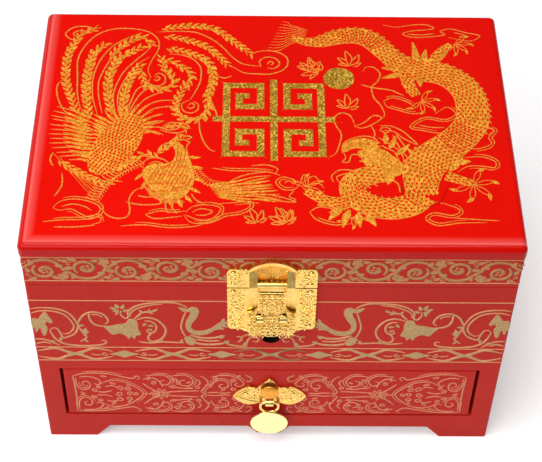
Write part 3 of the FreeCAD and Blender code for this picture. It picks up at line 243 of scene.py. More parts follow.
def lacquer(name, rgb, low_rough, high_rough, shine, edges=False):
    """Sprayed lacquer: faint cloudiness, orange peel, dust nibs and rubbed patches."""
    finish = Finish(name)
    cloud = finish.noise(9.0, 4.0)
    tone = finish.ramp(cloud, (0.3, shade(rgb, 0.93)), (0.7, shade(rgb, 1.06)))
    streak = finish.noise(22.0, 5.0, 0.6, finish.stretched((0.12, 1.0, 1.0)))
    tone = finish.mix(finish.ramp(streak, (0.45, 0.0), (0.75, 0.12)), tone, shade(rgb, 0.80))
    speck = finish.ramp(finish.noise(900.0, 1.0), (0.70, 0.0), (0.78, 0.35))
    tone = finish.mix(speck, tone, shade(rgb, 0.7))
    # The lid board gets painted highlight and shade along its edges.
    if edges:
        tone = painted_edge_light(finish, tone, rgb)
    rubbed = finish.noise(40.0, 5.0, 0.7)
    rough = finish.ramp(rubbed, (0.35, low_rough), (0.75, high_rough))
    peel = finish.bump(finish.noise(420.0, 2.0), 0.10, 0.0004)
    wave = finish.bump(finish.noise(16.0, 1.0), 0.05, 0.002, peel)
    finish.finish(tone, rough, wave, Specular_IOR_Level=shine)


def gold_paint(name, rgb, sparkle):
    """Screened gold ink with fine glitter in it."""
    finish = Finish(name)
    grain = finish.cells(1300.0)
    dim, bright = shade(rgb, 1.0 - sparkle), shade(rgb, 1.0 + sparkle)
    glint = finish.ramp(grain, (0.2, dim), (0.55, rgb), (0.9, bright))
    worn = finish.ramp(finish.noise(70.0, 6.0, 0.7), (0.30, 0.0), (0.80, 0.45))
    tone = finish.mix(worn, glint, shade(rgb, 0.74))
    uneven = finish.ramp(finish.noise(600.0, 2.0), (0.3, 0.30), (0.7, 0.57))
    bump = finish.bump(finish.cells(1500.0, "Distance"), 0.25, 0.0002)
    finish.finish(tone, uneven, bump, Specular_IOR_Level=0.4)


def glitter(name, rgb, dark, light):
    """Loose glitter in varnish: bright and dark flakes side by side."""
    finish = Finish(name)
    flakes = finish.cells(1150.0)
    tone = finish.ramp(flakes, (0.22, dark), (0.5, rgb), (0.78, light))
    patches = finish.ramp(finish.noise(130.0, 3.0), (0.38, 0.0), (0.66, 0.6))
    tone = finish.mix(patches, tone, shade(rgb, 0.8))
    rough = finish.ramp(finish.cells(1150.0), (0.2, 0.22), (0.8, 0.6))
    bump = finish.bump(finish.cells(1150.0, "Distance"), 0.5, 0.0003)
    finish.finish(tone, rough, bump, Metallic=0.25)


def brass(name, bright, dull, low_rough, high_rough, dents):
    """Cast and plated brass: tarnish in patches, fine scratches and small casting dents."""
    finish = Finish(name)
    tarnish = finish.ramp(finish.noise(190.0, 5.0, 0.65), (0.38, 0.0), (0.68, 0.75))
    tone = finish.mix(tarnish, bright, dull)
    scratch = finish.noise(800.0, 3.0, 0.6, finish.stretched((1.0, 1.0, 0.08)))
    rough = finish.ramp(scratch, (0.35, low_rough), (0.75, high_rough))
    cast = finish.bump(finish.noise(520.0, 3.0), dents, 0.0005)
    fine = finish.bump(scratch, 0.08, 0.0001, cast)
    finish.finish(tone, rough, fine, Metallic=1.0)


def velvet(name, rgb):
    """Short pile: soft sheen, brushed patches and a fine nap."""
    finish = Finish(name)
    brushed = finish.noise(38.0, 4.0, 0.6)
    tone = finish.ramp(brushed, (0.32, shade(rgb, 0.62)), (0.55, rgb), (0.78, shade(rgb, 1.5)))
    nap = finish.noise(2400.0, 2.0)
    tone = finish.mix(finish.ramp(nap, (0.35, 0.0), (0.7, 0.35)), tone, shade(rgb, 0.45))
    pile = finish.bump(nap, 0.5, 0.0003)
    soft = finish.bump(brushed, 0.12, 0.001, pile)
    finish.finish(tone, None, soft, Roughness=0.92, Specular_IOR_Level=0.15, Sheen_Weight=0.6,
                  Sheen_Roughness=0.35, Sheen_Tint=(1.0, 0.35, 0.35, 1.0))


def stained_wood(name, rgb):
    """Thin stain over straight grain, with pores and darker late wood."""
    finish = Finish(name)
    along = finish.stretched((0.10, 1.0, 1.0))
    rings = finish.noise(60.0, 6.0, 0.65, along)
    tone = finish.ramp(rings, (0.30, shade(rgb, 0.55)), (0.50, rgb), (0.72, shade(rgb, 1.35)))
    pores = finish.noise(700.0, 2.0, 0.5, finish.stretched((0.04, 1.0, 1.0)))
    tone = finish.mix(finish.ramp(pores, (0.60, 0.0), (0.70, 0.6)), tone, shade(rgb, 0.4))
    rough = finish.ramp(rings, (0.3, 0.42), (0.7, 0.62))
    bump = finish.bump(pores, 0.25, 0.0003)
    finish.finish(tone, rough, bump, Specular_IOR_Level=0.4)


def mirror_silver(name):
    """Silvered glass with a little dust and a few wiping marks."""
    finish = Finish(name)
    dust = finish.noise(55.0, 6.0, 0.7)
    tone = finish.ramp(dust, (0.4, (0.86, 0.88, 0.88)), (0.8, (0.80, 0.82, 0.82)))
    wipe = finish.noise(14.0, 4.0, 0.6, finish.stretched((0.3, 1.0, 1.0)))
    rough = finish.ramp(wipe, (0.45, 0.012), (0.85, 0.07))
    finish.finish(tone, rough, None, Metallic=1.0)


def mix_finishes():
    """Makes every finish of the box once."""
    red, metal, inside = settings()
    lacquer("gloss_red", red.top, 0.12, 0.22, 0.12)
    # The lid board's lacquer, with painted highlight and shade along its edges.
    lacquer("lid_red", red.top, 0.12, 0.22, 0.12, edges=True)
    lacquer("case_red", red.sides, 0.26, 0.40, 0.08)
    gold_paint("lid_gold", red.top_gold, 0.35)
    gold_paint("band_gold", red.band_gold, 0.22)
    gold_paint("scroll_gold", red.scroll_gold, 0.22)
    gold_paint("drawer_gold", red.drawer_gold, 0.22)
    gold_paint("vine_gold", red.vine_gold, 0.2)
    gold_paint("edge_gold", shade(red.vine_gold, 1.05), 0.2)
    glitter("glitter_gold", red.fill_gold, shade(red.fill_gold, 0.66), (0.98, 0.48, 0.05))
    glitter("emblem_gold", red.emblem_gold, shade(red.emblem_gold, 0.42), (0.82, 0.52, 0.06))
    brass("bright_brass", metal.bright, shade(metal.bright, 0.82), 0.14, 0.30, 0.10)
    brass("relief_brass", shade(metal.bright, 0.84), shade(metal.amber, 1.15), 0.22, 0.38, 0.12)
    brass("amber_brass", shade(metal.amber, 1.2), shade(metal.amber, 0.8), 0.42, 0.6, 0.5)
    brass("pale_brass", metal.pale, shade(metal.pale, 0.94), 0.24, 0.36, 0.04)
    velvet("red_velvet", inside.velvet)
    velvet("board_velvet", shade(inside.velvet, 0.85))
    stained_wood("inner_wood", inside.wood)
    # Near-black wood, painted shade inside the finger hole.
    stained_wood("painted_bore_shade", shade(inside.wood, 0.06))
    mirror_silver("mirror_silver")


def give(item, name):
    """Sets one finish in all of an object's material slots."""
    if not item.data.materials:
        item.data.materials.append(Finish.made[name])
    for slot in item.material_slots:
        slot.material = Finish.made[name]


# ---- drawing --------------------------------------------------------------------------------

def moved(points, across=0.0, up=0.0, side=1, way=1):
    """Points at another place; a side or way of -1 turns them left to right or upside down."""
    return [(across + side * u, up + way * v) for u, v in points]


def smooth(points, closed=False, step=1.3):
    """A smooth walk through given points, about one step apart."""
    count = len(points)
    if count < 3:
        return list(points)
    walk = []
    for index in range(count if closed else count - 1):
        if closed:
            near = [points[(index + shift) % count] for shift in (-1, 0, 1, 2)]
        else:
            near = [points[min(max(index + shift, 0), count - 1)] for shift in (-1, 0, 1, 2)]
        parts = max(2, min(9, round(math.dist(near[1], near[2]) / step)))
        for part in range(parts):
            t = part / parts
            walk.append(tuple(
                0.5 * (2 * b + t * (c - a + t * (2 * a - 5 * b + 4 * c - d + t * (3 * b - a - 3 * c + d))))
                for a, b, c, d in zip(*near)
            ))
    if not closed:
        walk.append(tuple(points[-1]))
    return walk


class Drawing:
    """Lines and filled shapes on one flat face, in millimetres."""

    def __init__(self):
        self.lines = []
        self.fills = []

    def line(self, points, width=0.7, taper=0.35):
        self.lines.append((points, width, taper))

    def fill(self, points):
        self.fills.append(points)

    def mirror(self):
        """Adds the mirror image across the upright middle line."""
        self.lines += [(moved(points, side=-1), *rest) for points, *rest in self.lines]
        self.fills += [moved(points, side=-1) for points in self.fills]

    def add(self, other):
        self.lines += other.lines
        self.fills += other.fills


FACES = {
    "front": Matrix(((1, 0, 0, 0), (0, 0, -1, FRONT * MM), (0, 1, 0, 0), (0, 0, 0, 1))),
    "left": Matrix(((0, 0, -1, -SIDE * MM), (-1, 0, 0, MIDDLE * MM), (0, 1, 0, 0), (0, 0, 0, 1))),
    "right": Matrix(((0, 0, 1, SIDE * MM), (1, 0, 0, MIDDLE * MM), (0, 1, 0, 0), (0, 0, 0, 1))),
    "top": Matrix(((1, 0, 0, 0), (0, 1, 0, MIDDLE * MM), (0, 0, 1, TOP * MM), (0, 0, 0, 1))),
}


def off_face(face, distance):
    """The same face, moved out by a distance in millimetres."""
    return FACES[face] @ Matrix.Translation((0, 0, distance * MM))


def select_only(item):
    bpy.ops.object.select_all(action="DESELECT")
    item.select_set(True)
    bpy.context.view_layer.objects.active = item


def wires(name, walks, radius, resolution=0, closed=False):
    """Round wires along walks of (x, y, z, share of the radius), as one mesh."""
    bpy.ops.curve.primitive_bezier_curve_add()
    item = bpy.context.object
    item.name = name
    curve = item.data
    curve.splines.clear()
    curve.dimensions = "3D"
    curve.bevel_depth = radius * MM
    curve.bevel_resolution = resolution
    curve.use_fill_caps = not closed
    for walk in walks:
        spline = curve.splines.new("POLY")
        spline.points.add(len(walk) - 1)
        spline.use_cyclic_u = closed
        for point, (x, y, z, share) in zip(spline.points, walk):
            point.co = (x * MM, y * MM, z * MM, 1.0)
            point.radius = share
    bpy.ops.object.convert(target="MESH")
    return bpy.context.object


def raise_lines(name, lines, height, face):
    """Gold lines as low ridges: wires pressed flat, with thinner ends."""
    walks = []
    for points, width, taper in lines:
        path = smooth(points)
        last = len(path) - 1
        walks.append([(u, v, 0.0, width * min(1.0, 3.2 * min(index, last - index) / last + taper))
                      for index, (u, v) in enumerate(path)])
    item = wires(name, walks, 0.5)
    widest = max(width for points, width, taper in lines)
    item.data.transform(Matrix.Diagonal((1.0, 1.0, height / (widest * MM / 2), 1.0)))
    item.data.transform(face)
    return item


def raise_shapes(name, shapes, height, face):
    """Filled shapes as thin flat pads, each a little higher or lower than the ones it may cross."""
    pads = bmesh.new()
    for number, points in enumerate(shapes):
        path = smooth(points, closed=True)
        rise = height * (1.0 + 0.5 * (number * 0.618034 % 1.0))
        turning = sum(a[0] * b[1] - b[0] * a[1] for a, b in zip(path, path[1:] + path[:1]))
        if turning < 0:
            path.reverse()
        low, high = ([pads.verts.new((u * MM, v * MM, level)) for u, v in path]
                     for level in (-SINK * MM, rise))
        pads.faces.new(high)
        pads.faces.new(low[::-1])
        for index in range(len(path)):
            pads.faces.new((low[index - 1], low[index], high[index], high[index - 1]))
    pads.normal_update()
    bmesh.ops.triangulate(pads, faces=[f for f in pads.faces if len(f.verts) > 4], ngon_method="EAR_CLIP")
    return from_bmesh(name, pads, face)


def from_bmesh(name, form, place=Matrix()):
    """A new object in the scene, made from a form that is used up."""
    mesh = bpy.data.meshes.new(name)
    form.to_mesh(mesh)
    form.free()
    mesh.transform(place)
    item = bpy.data.objects.new(name, mesh)
    bpy.context.scene.collection.objects.link(item)
    return item


def seat(item, name, body, finish, slot, *nodes):
    """Names and finishes a piece and sets it on its body, in the place of CAD nodes if they are given."""
    item.name = name
    give(item, finish)
    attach(item, body)
    if nodes:
        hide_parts(*nodes)


def lay(name, drawing, face, body, line_finish, fill_finish=None, height=None, slot="red_lacquer", lift=0.0):
    """Puts a drawing on a face of a body."""
    height = height or settings()[0].line_height
    place = off_face(face, lift)
    if drawing.lines:
        item = raise_lines(f"{name}_lines", drawing.lines, height, place)
        seat(item, item.name, body, line_finish, slot)
    if drawing.fills:
        item = raise_shapes(f"{name}_fills", drawing.fills, height * 0.8, place)
        seat(item, item.name, body, fill_finish or line_finish, slot)


# ---- strokes of the ornament ----------------------------------------------------------------

def spiral(across, up, radius, start, turns, squeeze=1.0, inner=0.16):
    """Points that wind in towards a middle; negative turns wind clockwise. Angles in turns."""
    count = max(6, round(abs(turns) * 11))
    points = []
    for index in range(count + 1):
        t = index / count
        reach = radius * (1 - (1 - inner) * t)
        angle = 2 * math.pi * (start + turns * t)
        points.append((across + reach * math.cos(angle), up + squeeze * reach * math.sin(angle)))
    return points


def polar(across, up, reach, turn):
    angle = 2 * math.pi * turn
    return across + reach * math.cos(angle), up + reach * math.sin(angle)


def heading(along):
    """A direction in turns from the right-hand way."""
    return math.atan2(along[1], along[0]) / (2 * math.pi)


def leaf(across, up, turn, length, width, bend=0.0):
    """Outline of a pointed leaf that grows from a place, with a bend to its left."""
    angle = 2 * math.pi * turn
    along = Vector((math.cos(angle), math.sin(angle)))
    side = Vector((-along.y, along.x))
    base = Vector((across, up))

    def at(t, offset):
        middle = base + along * (length * t) + side * (bend * length * t * t)
        return tuple(middle + side * offset)

    return [at(0, 0), at(0.35, -width / 2), at(0.7, -width * 0.36), at(1, 0), at(0.65, width * 0.40),
            at(0.3, width / 2)]


def direction(path, index):
    before = path[max(index - 1, 0)]
    after = path[min(index + 1, len(path) - 1)]
    step = Vector((after[0] - before[0], after[1] - before[1]))
    return step.normalized() if step.length else Vector((1, 0))


def stations(points, pitch):
    """Places and directions at even steps along a smooth walk: (place, direction, share)."""
    path = smooth(points, step=0.8)
    total = sum(math.dist(a, b) for a, b in zip(path, path[1:]))
    count = max(2, round(total / pitch))
    found = []
    target = 0.0
    gone = 0.0
    for index in range(len(path) - 1):
        length = math.dist(path[index], path[index + 1])
        while len(found) <= count and target <= gone + length + 1e-9:
            t = (target - gone) / length if length else 0.0
            place = Vector(path[index]).lerp(Vector(path[index + 1]), t)
            found.append((place, direction(path, index), len(found) / count))
            target += total / count
        gone += length
    return found


def beside(place, along, reach, ahead=0.0):
    """A place off a line to its left, and ahead along it."""
    return place.x - along.y * reach + along.x * ahead, place.y + along.x * reach + along.y * ahead


def offset_line(points, distance, pitch=3.0, start=0.0, stop=1.0):
    """A line beside another; the distance may be a function of the share along it."""
    found = []
    for place, along, share in stations(points, pitch):
        if start <= share <= stop:
            found.append(beside(place, along, distance(share) if callable(distance) else distance))
    return found


# ---- stage ----------------------------------------------------------------------------------

class JEWELBOX_OT_stage(bpy.types.Operator):
    """Makes the pale floor, the soft studio lights and the camera"""

    bl_idname = "jewelbox.stage"
    bl_label = "Floor, Lights and Camera"

    lamps = (
        ("key", (-0.85, -0.85, 1.25), (-0.05, 0.0, 0.12), 1.8, 0.8, 21.0),
        ("fill", (1.25, -0.75, 1.1), (0.0, 0.0, 0.10), 1.0, 1.0, 1.2),
        ("over", (-0.1, -0.20, 1.9), (0.0, 0.0, 0.15), 0.9, 0.9, 21.0),
        ("rim", (-1.20, 0.75, 0.62), (0.0, 0.0, 0.18), 1.8, 0.7, 5.0),
    )

    def execute(self, context):
        scene = context.scene
        scene.view_settings.view_transform = "Standard"
        bpy.ops.mesh.primitive_plane_add(size=40.0)
        floor = context.object
        floor.name = "studio_floor"
        floor.data.materials.append(self.floor_finish())
        self.sky(scene)
        for lamp in self.lamps:
            self.lamp(*lamp)
        self.camera(scene)
        return {"FINISHED"}

    def sky(self, scene):
        """Seen straight on the sky is white; as a light it stays dim."""
        world = scene.world or bpy.data.worlds.new("studio")
        scene.world = world
        world.use_nodes = True
        tree = world.node_tree
        background = tree.nodes["Background"]
        background.inputs["Color"].default_value = (1.0, 0.985, 0.97, 1.0)
        background.inputs["Strength"].default_value = 0.16
        path = tree.nodes.new("ShaderNodeLightPath")
        strength = tree.nodes.new("ShaderNodeMath")
        strength.operation = "MULTIPLY_ADD"
        strength.inputs[1].default_value = 0.9
        strength.inputs[2].default_value = background.inputs["Strength"].default_value
        tree.links.new(path.outputs["Is Camera Ray"], strength.inputs[0])
        tree.links.new(strength.outputs[0], background.inputs["Strength"])

    def floor_finish(self):
        """White paper that keeps the box's shadow; it glows a little where it is seen or mirrored."""
        finish = Finish("white_paper")
        path = finish.add("ShaderNodeLightPath").outputs
        mirrored = finish.math("MAXIMUM", path["Is Glossy Ray"], path["Is Transmission Ray"])
        seen = finish.math("MAXIMUM", path["Is Camera Ray"], mirrored)
        reach = finish.add("ShaderNodeVectorMath", operation="LENGTH")
        finish.link(finish.place, reach.inputs[0])
        haze = finish.ramp(reach.outputs["Value"], (0.55, 0.0), (1.0, 0.75))
        glow = finish.add("ShaderNodeEmission")
        near = finish.math("MULTIPLY", seen, 0.30)
        finish.link(finish.math("MULTIPLY_ADD", haze, path["Is Camera Ray"], near), glow.inputs["Strength"])
        both = finish.add("ShaderNodeAddShader")
        finish.link(finish.shader.outputs["BSDF"], both.inputs[0])
        finish.link(glow.outputs["Emission"], both.inputs[1])
        finish.link(both.outputs[0], finish.tree.nodes["Material Output"].inputs["Surface"])
        fibre = finish.ramp(finish.noise(300.0, 3.0), (0.3, 0.80), (0.7, 0.84))
        finish.finish(fibre, Roughness=0.9, Specular_IOR_Level=0.1)
        return finish.material

    def lamp(self, name, place, aim, width, depth, power):
        bpy.ops.object.light_add(type="AREA", location=place)
        lamp = bpy.context.object
        lamp.name = f"{name}_light"
        lamp.data.shape = "RECTANGLE"
        lamp.data.size = width
        lamp.data.size_y = depth
        lamp.data.energy = power
        lamp.rotation_euler = (Vector(aim) - Vector(place)).to_track_quat("-Z", "Y").to_euler()

    def camera(self, scene):
        bpy.ops.object.camera_add()
        camera = bpy.context.object
        camera.name = "photo_camera"
        pitch, yaw, roll = (math.radians(angle) for angle in (49.631, 1.2115, 1.307))
        look = Vector((math.sin(yaw) * math.cos(pitch), math.cos(yaw) * math.cos(pitch), -math.sin(pitch)))
        level = Vector((math.cos(yaw), -math.sin(yaw), 0.0))
        upright = level.cross(look)
        right = level * math.cos(roll) + upright * math.sin(roll)
        up = upright * math.cos(roll) - level * math.sin(roll)
        turned = Matrix((right, up, -look)).transposed()
        place = Vector((-13.41, -663.48, 881.56)) * MM
        camera.matrix_world = Matrix.Translation(place) @ turned.to_4x4()
        camera.data.lens = 100.57
        camera.data.sensor_width = 36.0
        scene.camera = camera


# ---- boards and fittings that keep their own shape ------------------------------------------

class JEWELBOX_OT_boards(bpy.types.Operator):
    """Lacquers, stains and velvets the boards, and plates the fittings"""

    bl_idname = "jewelbox.boards"
    bl_label = "Boards and Fittings"

    finishes = {
        "lid_red": "lid_top",
        "case_red": "side_left side_right front_board front_rail back_board lid_front lid_left lid_right "
                    "lid_back drawer_front mirror_frame",
        "inner_wood": "middle_shelf bottom_panel drawer_runners tray_ledges drawer_left drawer_right "
                      "drawer_back drawer_bottom drawer_stop",
        "board_velvet": "tray_front tray_back tray_left tray_right tray_floor tray_cross_divider "
                        "tray_long_divider tray_short_divider drawer_dividers",
        "bright_brass": "case_hinge_leaves lid_hinge_leaves hinge_pins hasp_pin lock_staples pull_post "
                        "pull_nut",
        "relief_brass": "upper_lock_plate lower_lock_plate hasp pull_plate",
        "mirror_silver": "mirror_glass",
    }
    bore_level = 113.3
    bore_reach = 6.3

    def execute(self, context):
        mix_finishes()
        for finish, nodes in self.finishes.items():
            for node in nodes.split():
                give(NODES[node], finish)
        self.bore(NODES["front_board"])
        return {"FINISHED"}

    def bore(self, board):
        """The finger hole in the front board gets near-black wood inside, as painted shade."""
        board.data.materials.append(Finish.made["painted_bore_shade"])
        for face in board.data.polygons:
            across, along, up = board.matrix_world @ face.center / MM
            if math.hypot(across, up - self.bore_level) < self.bore_reach and along > FRONT + 0.4:
                face.material_index = len(board.data.materials) - 1


# ---- brass ----------------------------------------------------------------------------------

PLATE_FACE = 1.6
HASP_FACE = 6.0


def foliage(low, right, high, seed, avoid=(), pitch=4.1):
    """Close floral relief: curls with leaves round them, mirrored about the middle line."""
    chance = random.Random(seed)
    relief = Drawing()
    columns = max(1, round(right / pitch))
    rows = max(1, round((high - low) / pitch))
    for column in range(columns):
        for row in range(rows):
            across = (column + 0.5) * right / columns + chance.uniform(-0.35, 0.35)
            up = low + (row + 0.5) * (high - low) / rows + chance.uniform(-0.35, 0.35)
            if any(a <= across <= c and b <= up <= d for a, b, c, d in avoid):
                continue
            start = chance.random()
            way = 1 if (column + row) % 2 else -1
            relief.line(spiral(across, up, pitch * 0.46, start, 0.95 * way, inner=0.2), 0.75, 0.5)
            for part in (0.22, 0.48, 0.74):
                turn = start + way * part + chance.uniform(-0.04, 0.04)
                root = polar(across, up, pitch * 0.34, turn)
                relief.fill(leaf(*root, turn + 0.08 * way, pitch * 0.42, pitch * 0.26, 0.2 * way))
    relief.mirror()
    return relief


def add_relief(name, relief, distance, body, finish="bright_brass", height=None):
    height = height or settings()[1].relief
    lay(name, relief, "front", body, finish, finish, height, "brass_fittings", distance)


def dome(radius, segments, rings, stretch):
    """The front half of a ball, pressed to a share of its size."""
    bpy.ops.mesh.primitive_uv_sphere_add(segments=segments, ring_count=rings, radius=radius * MM)
    bpy.ops.object.mode_set(mode="EDIT")
    bpy.ops.mesh.bisect(plane_co=(0, 0, 0), plane_no=(0, 1, 0), clear_outer=True, use_fill=True)
    bpy.ops.mesh.select_all(action="SELECT")
    bpy.ops.transform.resize(value=stretch)
    bpy.ops.object.mode_set(mode="OBJECT")
    return bpy.context.object


def modify(item, kind, **values):
    """Reshapes an object by a modifier, and applies it."""
    select_only(item)
    modifier = item.modifiers.new(kind, kind)
    for name, value in values.items():
        setattr(modifier, name, value)
    bpy.ops.object.modifier_apply(modifier=modifier.name)


def rounded(item, width, segments=2, angle=35.0):
    """Rounds the sharp edges of an object."""
    modify(item, "BEVEL", width=width * MM, segments=segments, limit_method="ANGLE",
           angle_limit=math.radians(angle))


def settle(item):
    """Puts an object's place in its mesh, and smooths what isn't sharp."""
    select_only(item)
    bpy.ops.object.transform_apply(location=True, rotation=True, scale=True)
    bpy.ops.object.shade_smooth_by_angle(angle=math.radians(40))
    return item


def joined(pieces):
    select_only(pieces[0])
    for piece in pieces:
        piece.select_set(True)
    bpy.ops.object.join()
    return bpy.context.object


def twins(first, places):
    """One object made of copies of the first at places in millimetres; the first is used up."""
    made = []
    for place in places:
        mesh = first.data.copy()
        mesh.transform(Matrix.Translation(Vector(place) * MM))
        twin = bpy.data.objects.new(first.name, mesh)
        bpy.context.scene.collection.objects.link(twin)
        made.append(twin)
    bpy.data.objects.remove(first)
    return joined(made)


class JEWELBOX_OT_lock(bpy.types.Operator):
    """Covers the lock plates and the hasp with floral relief"""

    bl_idname = "jewelbox.lock"
    bl_label = "Lock Relief"

    def execute(self, context):
        ear_and_arch = ((8.7, 166.0, 17.6, 180.6), (0.0, 172.0, 15.2, 192.0))
        nails = ((22.0, 164.0, 27.0, 170.0), (22.0, 179.0, 27.0, 184.0))
        upper = foliage(166.4, 26.0, 182.6, 4, ear_and_arch + nails)
        lower_nails = ((22.0, 160.0, 27.0, 166.0), (22.0, 122.0, 27.0, 129.0))
        lower = foliage(124.6, 26.0, 164.2, 9, ((0.0, 119.0, 15.6, 166.0), *lower_nails))
        for side in (-1, 1):
            for up in (167.4, 172.2, 177.0, 181.2):
                upper.line(spiral(side * 19.6, up, 1.9, 0.25 * side, 0.9 * side), 0.7, 0.5)
            lower.line(moved([(17, 122.6), (12, 122.9), (7, 122.5)], side=side), 0.8, 0.6)
        add_relief("upper_leafwork", upper, PLATE_FACE, "lid")
        add_relief("lower_leafwork", lower, PLATE_FACE, "case")
        self.recess()
        self.hasp_face()
        return {"FINISHED"}

    def recess(self):
        """The hollow under the arch, laid with a thin amber sheet as painted shade, with a low shell of
        leaves in it.
        """
        field = Drawing()
        field.fill([(-12.2, 167.5), (0, 167.3), (12.2, 167.5), (12.2, 175), (12.2, 183.2), (8.6, 186.4),
                    (0, 188.2), (-8.6, 186.4), (-12.2, 183.2), (-12.2, 175)])
        # Painted shade: a thin amber sheet over the hollow.
        add_relief("painted_arch_shade", field, PLATE_FACE, "lid", "amber_brass", 0.0001)
        shell = Drawing()
        for step in range(-4, 5):
            tip = (step * 2.35, 185.6 - abs(step) * 0.85)
            shell.line([(step * 0.55, 174.0), (step * 1.5, 180.0), tip], 0.9, 0.5)
            shell.line(spiral(tip[0], tip[1] - 0.8, 0.85, 0.25, 0.8), 0.5, 0.5)
        for step in range(-3, 4):
            shell.line(spiral(step * 3.1, 171.3, 1.2, 0.5 + 0.2 * step, 0.9 if step % 2 else -0.9), 0.6, 0.5)
        add_relief("arch_shell", shell, PLATE_FACE + 0.1, "lid", "relief_brass", 0.0005)

    def hasp_face(self):
        """Leaves on the hasp's neck and head, lips over and under its slots, and a rim round its window."""
        face = foliage(145.0, 8.0, 159.5, 21, pitch=3.6)
        slots = ((3.6, 133.4, 10.6, 144.2), (0.0, 119.0, 2.0, 123.0), (12.6, 137.0, 15.0, 144.0))
        face.add(foliage(122.0, 14.0, 143.0, 33, slots, 3.7))
        for side in (-1, 1):
            for up, way in ((136.4, -1), (141.8, 1)):
                face.line(moved([(3.9, 0.8), (7.05, 1.2), (10.2, 0.8)], 0, up, side, way), 0.8, 0.6)
        add_relief("hasp_leafwork", face, HASP_FACE, "hasp", height=0.0005)
        rim = Drawing()
        low_left, low_right, high_left, high_right = (-7.9, 160.9), (7.9, 160.9), (-7.9, 165.6), (7.9, 165.6)
        rim.line([low_left, (0, 160.7), low_right], 0.9, 1.0)
        rim.line([high_left, (0, 165.8), high_right], 0.9, 1.0)
        rim.line([low_left, (-8, 163.2), high_left], 0.9, 1.0)
        rim.line([low_right, (8, 163.2), high_right], 0.9, 1.0)
        add_relief("hasp_window_lip", rim, HASP_FACE, "hasp", height=0.0004)


class JEWELBOX_OT_nails(bpy.types.Operator):
    """Sets domed brass nails in the plates and slotted screws in the hinges"""

    bl_idname = "jewelbox.nails"
    bl_label = "Nails and Screws"

    nails = (
        ("upper_nails", "lid", "upper_plate_pins", 23.3, (168.8, 179.5)),
        ("lower_nails", "case", "lower_plate_pins", 23.3, (127.6, 161.4)),
        ("pull_nails", "drawer", "pull_plate_pins", 15.5, (52.5,)),
    )
    screws = (("case_screws", "case", "case_hinge_screws", 1), ("lid_screws", "lid", "lid_hinge_screws", -1))
    screw_places = (-80.0, -100.0, 80.0, 100.0)

    def execute(self, context):
        for name, body, node, across, levels in self.nails:
            places = [(side * across, FRONT - PLATE_FACE, up) for side in (-1, 1) for up in levels]
            seat(twins(self.nail(), places), name, body, "bright_brass", "brass_fittings", node)
        for name, body, node, way in self.screws:
            low, high = (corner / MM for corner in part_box(node))
            level = high.z if way > 0 else low.z
            places = [(across, (low.y + high.y) / 2, level) for across in self.screw_places]
            seat(twins(self.screw(way), places), name, body, "bright_brass", "brass_fittings", node)
        return {"FINISHED"}

    def nail(self):
        """A domed head on an eight-sided shank, whose seat is at the origin and whose shank runs back."""
        head = dome(1.6, 20, 12, (1, 0.9 / 1.6, 1))
        bpy.ops.mesh.primitive_cylinder_add(vertices=8, radius=0.6 * MM, depth=7.8 * MM,
                                            location=(0, 3.9 * MM, 0), rotation=(math.radians(90), 0, 0))
        return settle(joined([head, bpy.context.object]))

    def screw(self, way):
        """A countersunk, slotted head over a short tapered shank, pointing down or up."""
        bpy.ops.mesh.primitive_cone_add(vertices=24, radius1=0.8 * MM, radius2=1.5 * MM, depth=1.2 * MM,
                                        location=(0, 0, -0.6 * MM))
        head = bpy.context.object
        bpy.ops.mesh.primitive_cube_add(size=1.0)
        groove = bpy.context.object
        groove.scale = (0.45 * MM, 3.4 * MM, 0.9 * MM)
        groove.rotation_euler = (0, 0, math.radians(31))
        modify(head, "BOOLEAN", object=groove)
        bpy.data.objects.remove(groove)
        bpy.ops.mesh.primitive_cone_add(vertices=12, radius1=0.15 * MM, radius2=0.8 * MM, depth=5.8 * MM,
                                        location=(0, 0, -4.1 * MM))
        piece = joined([head, bpy.context.object])
        if way < 0:
            piece.rotation_euler = (math.radians(180), 0, 0)
        return settle(piece)


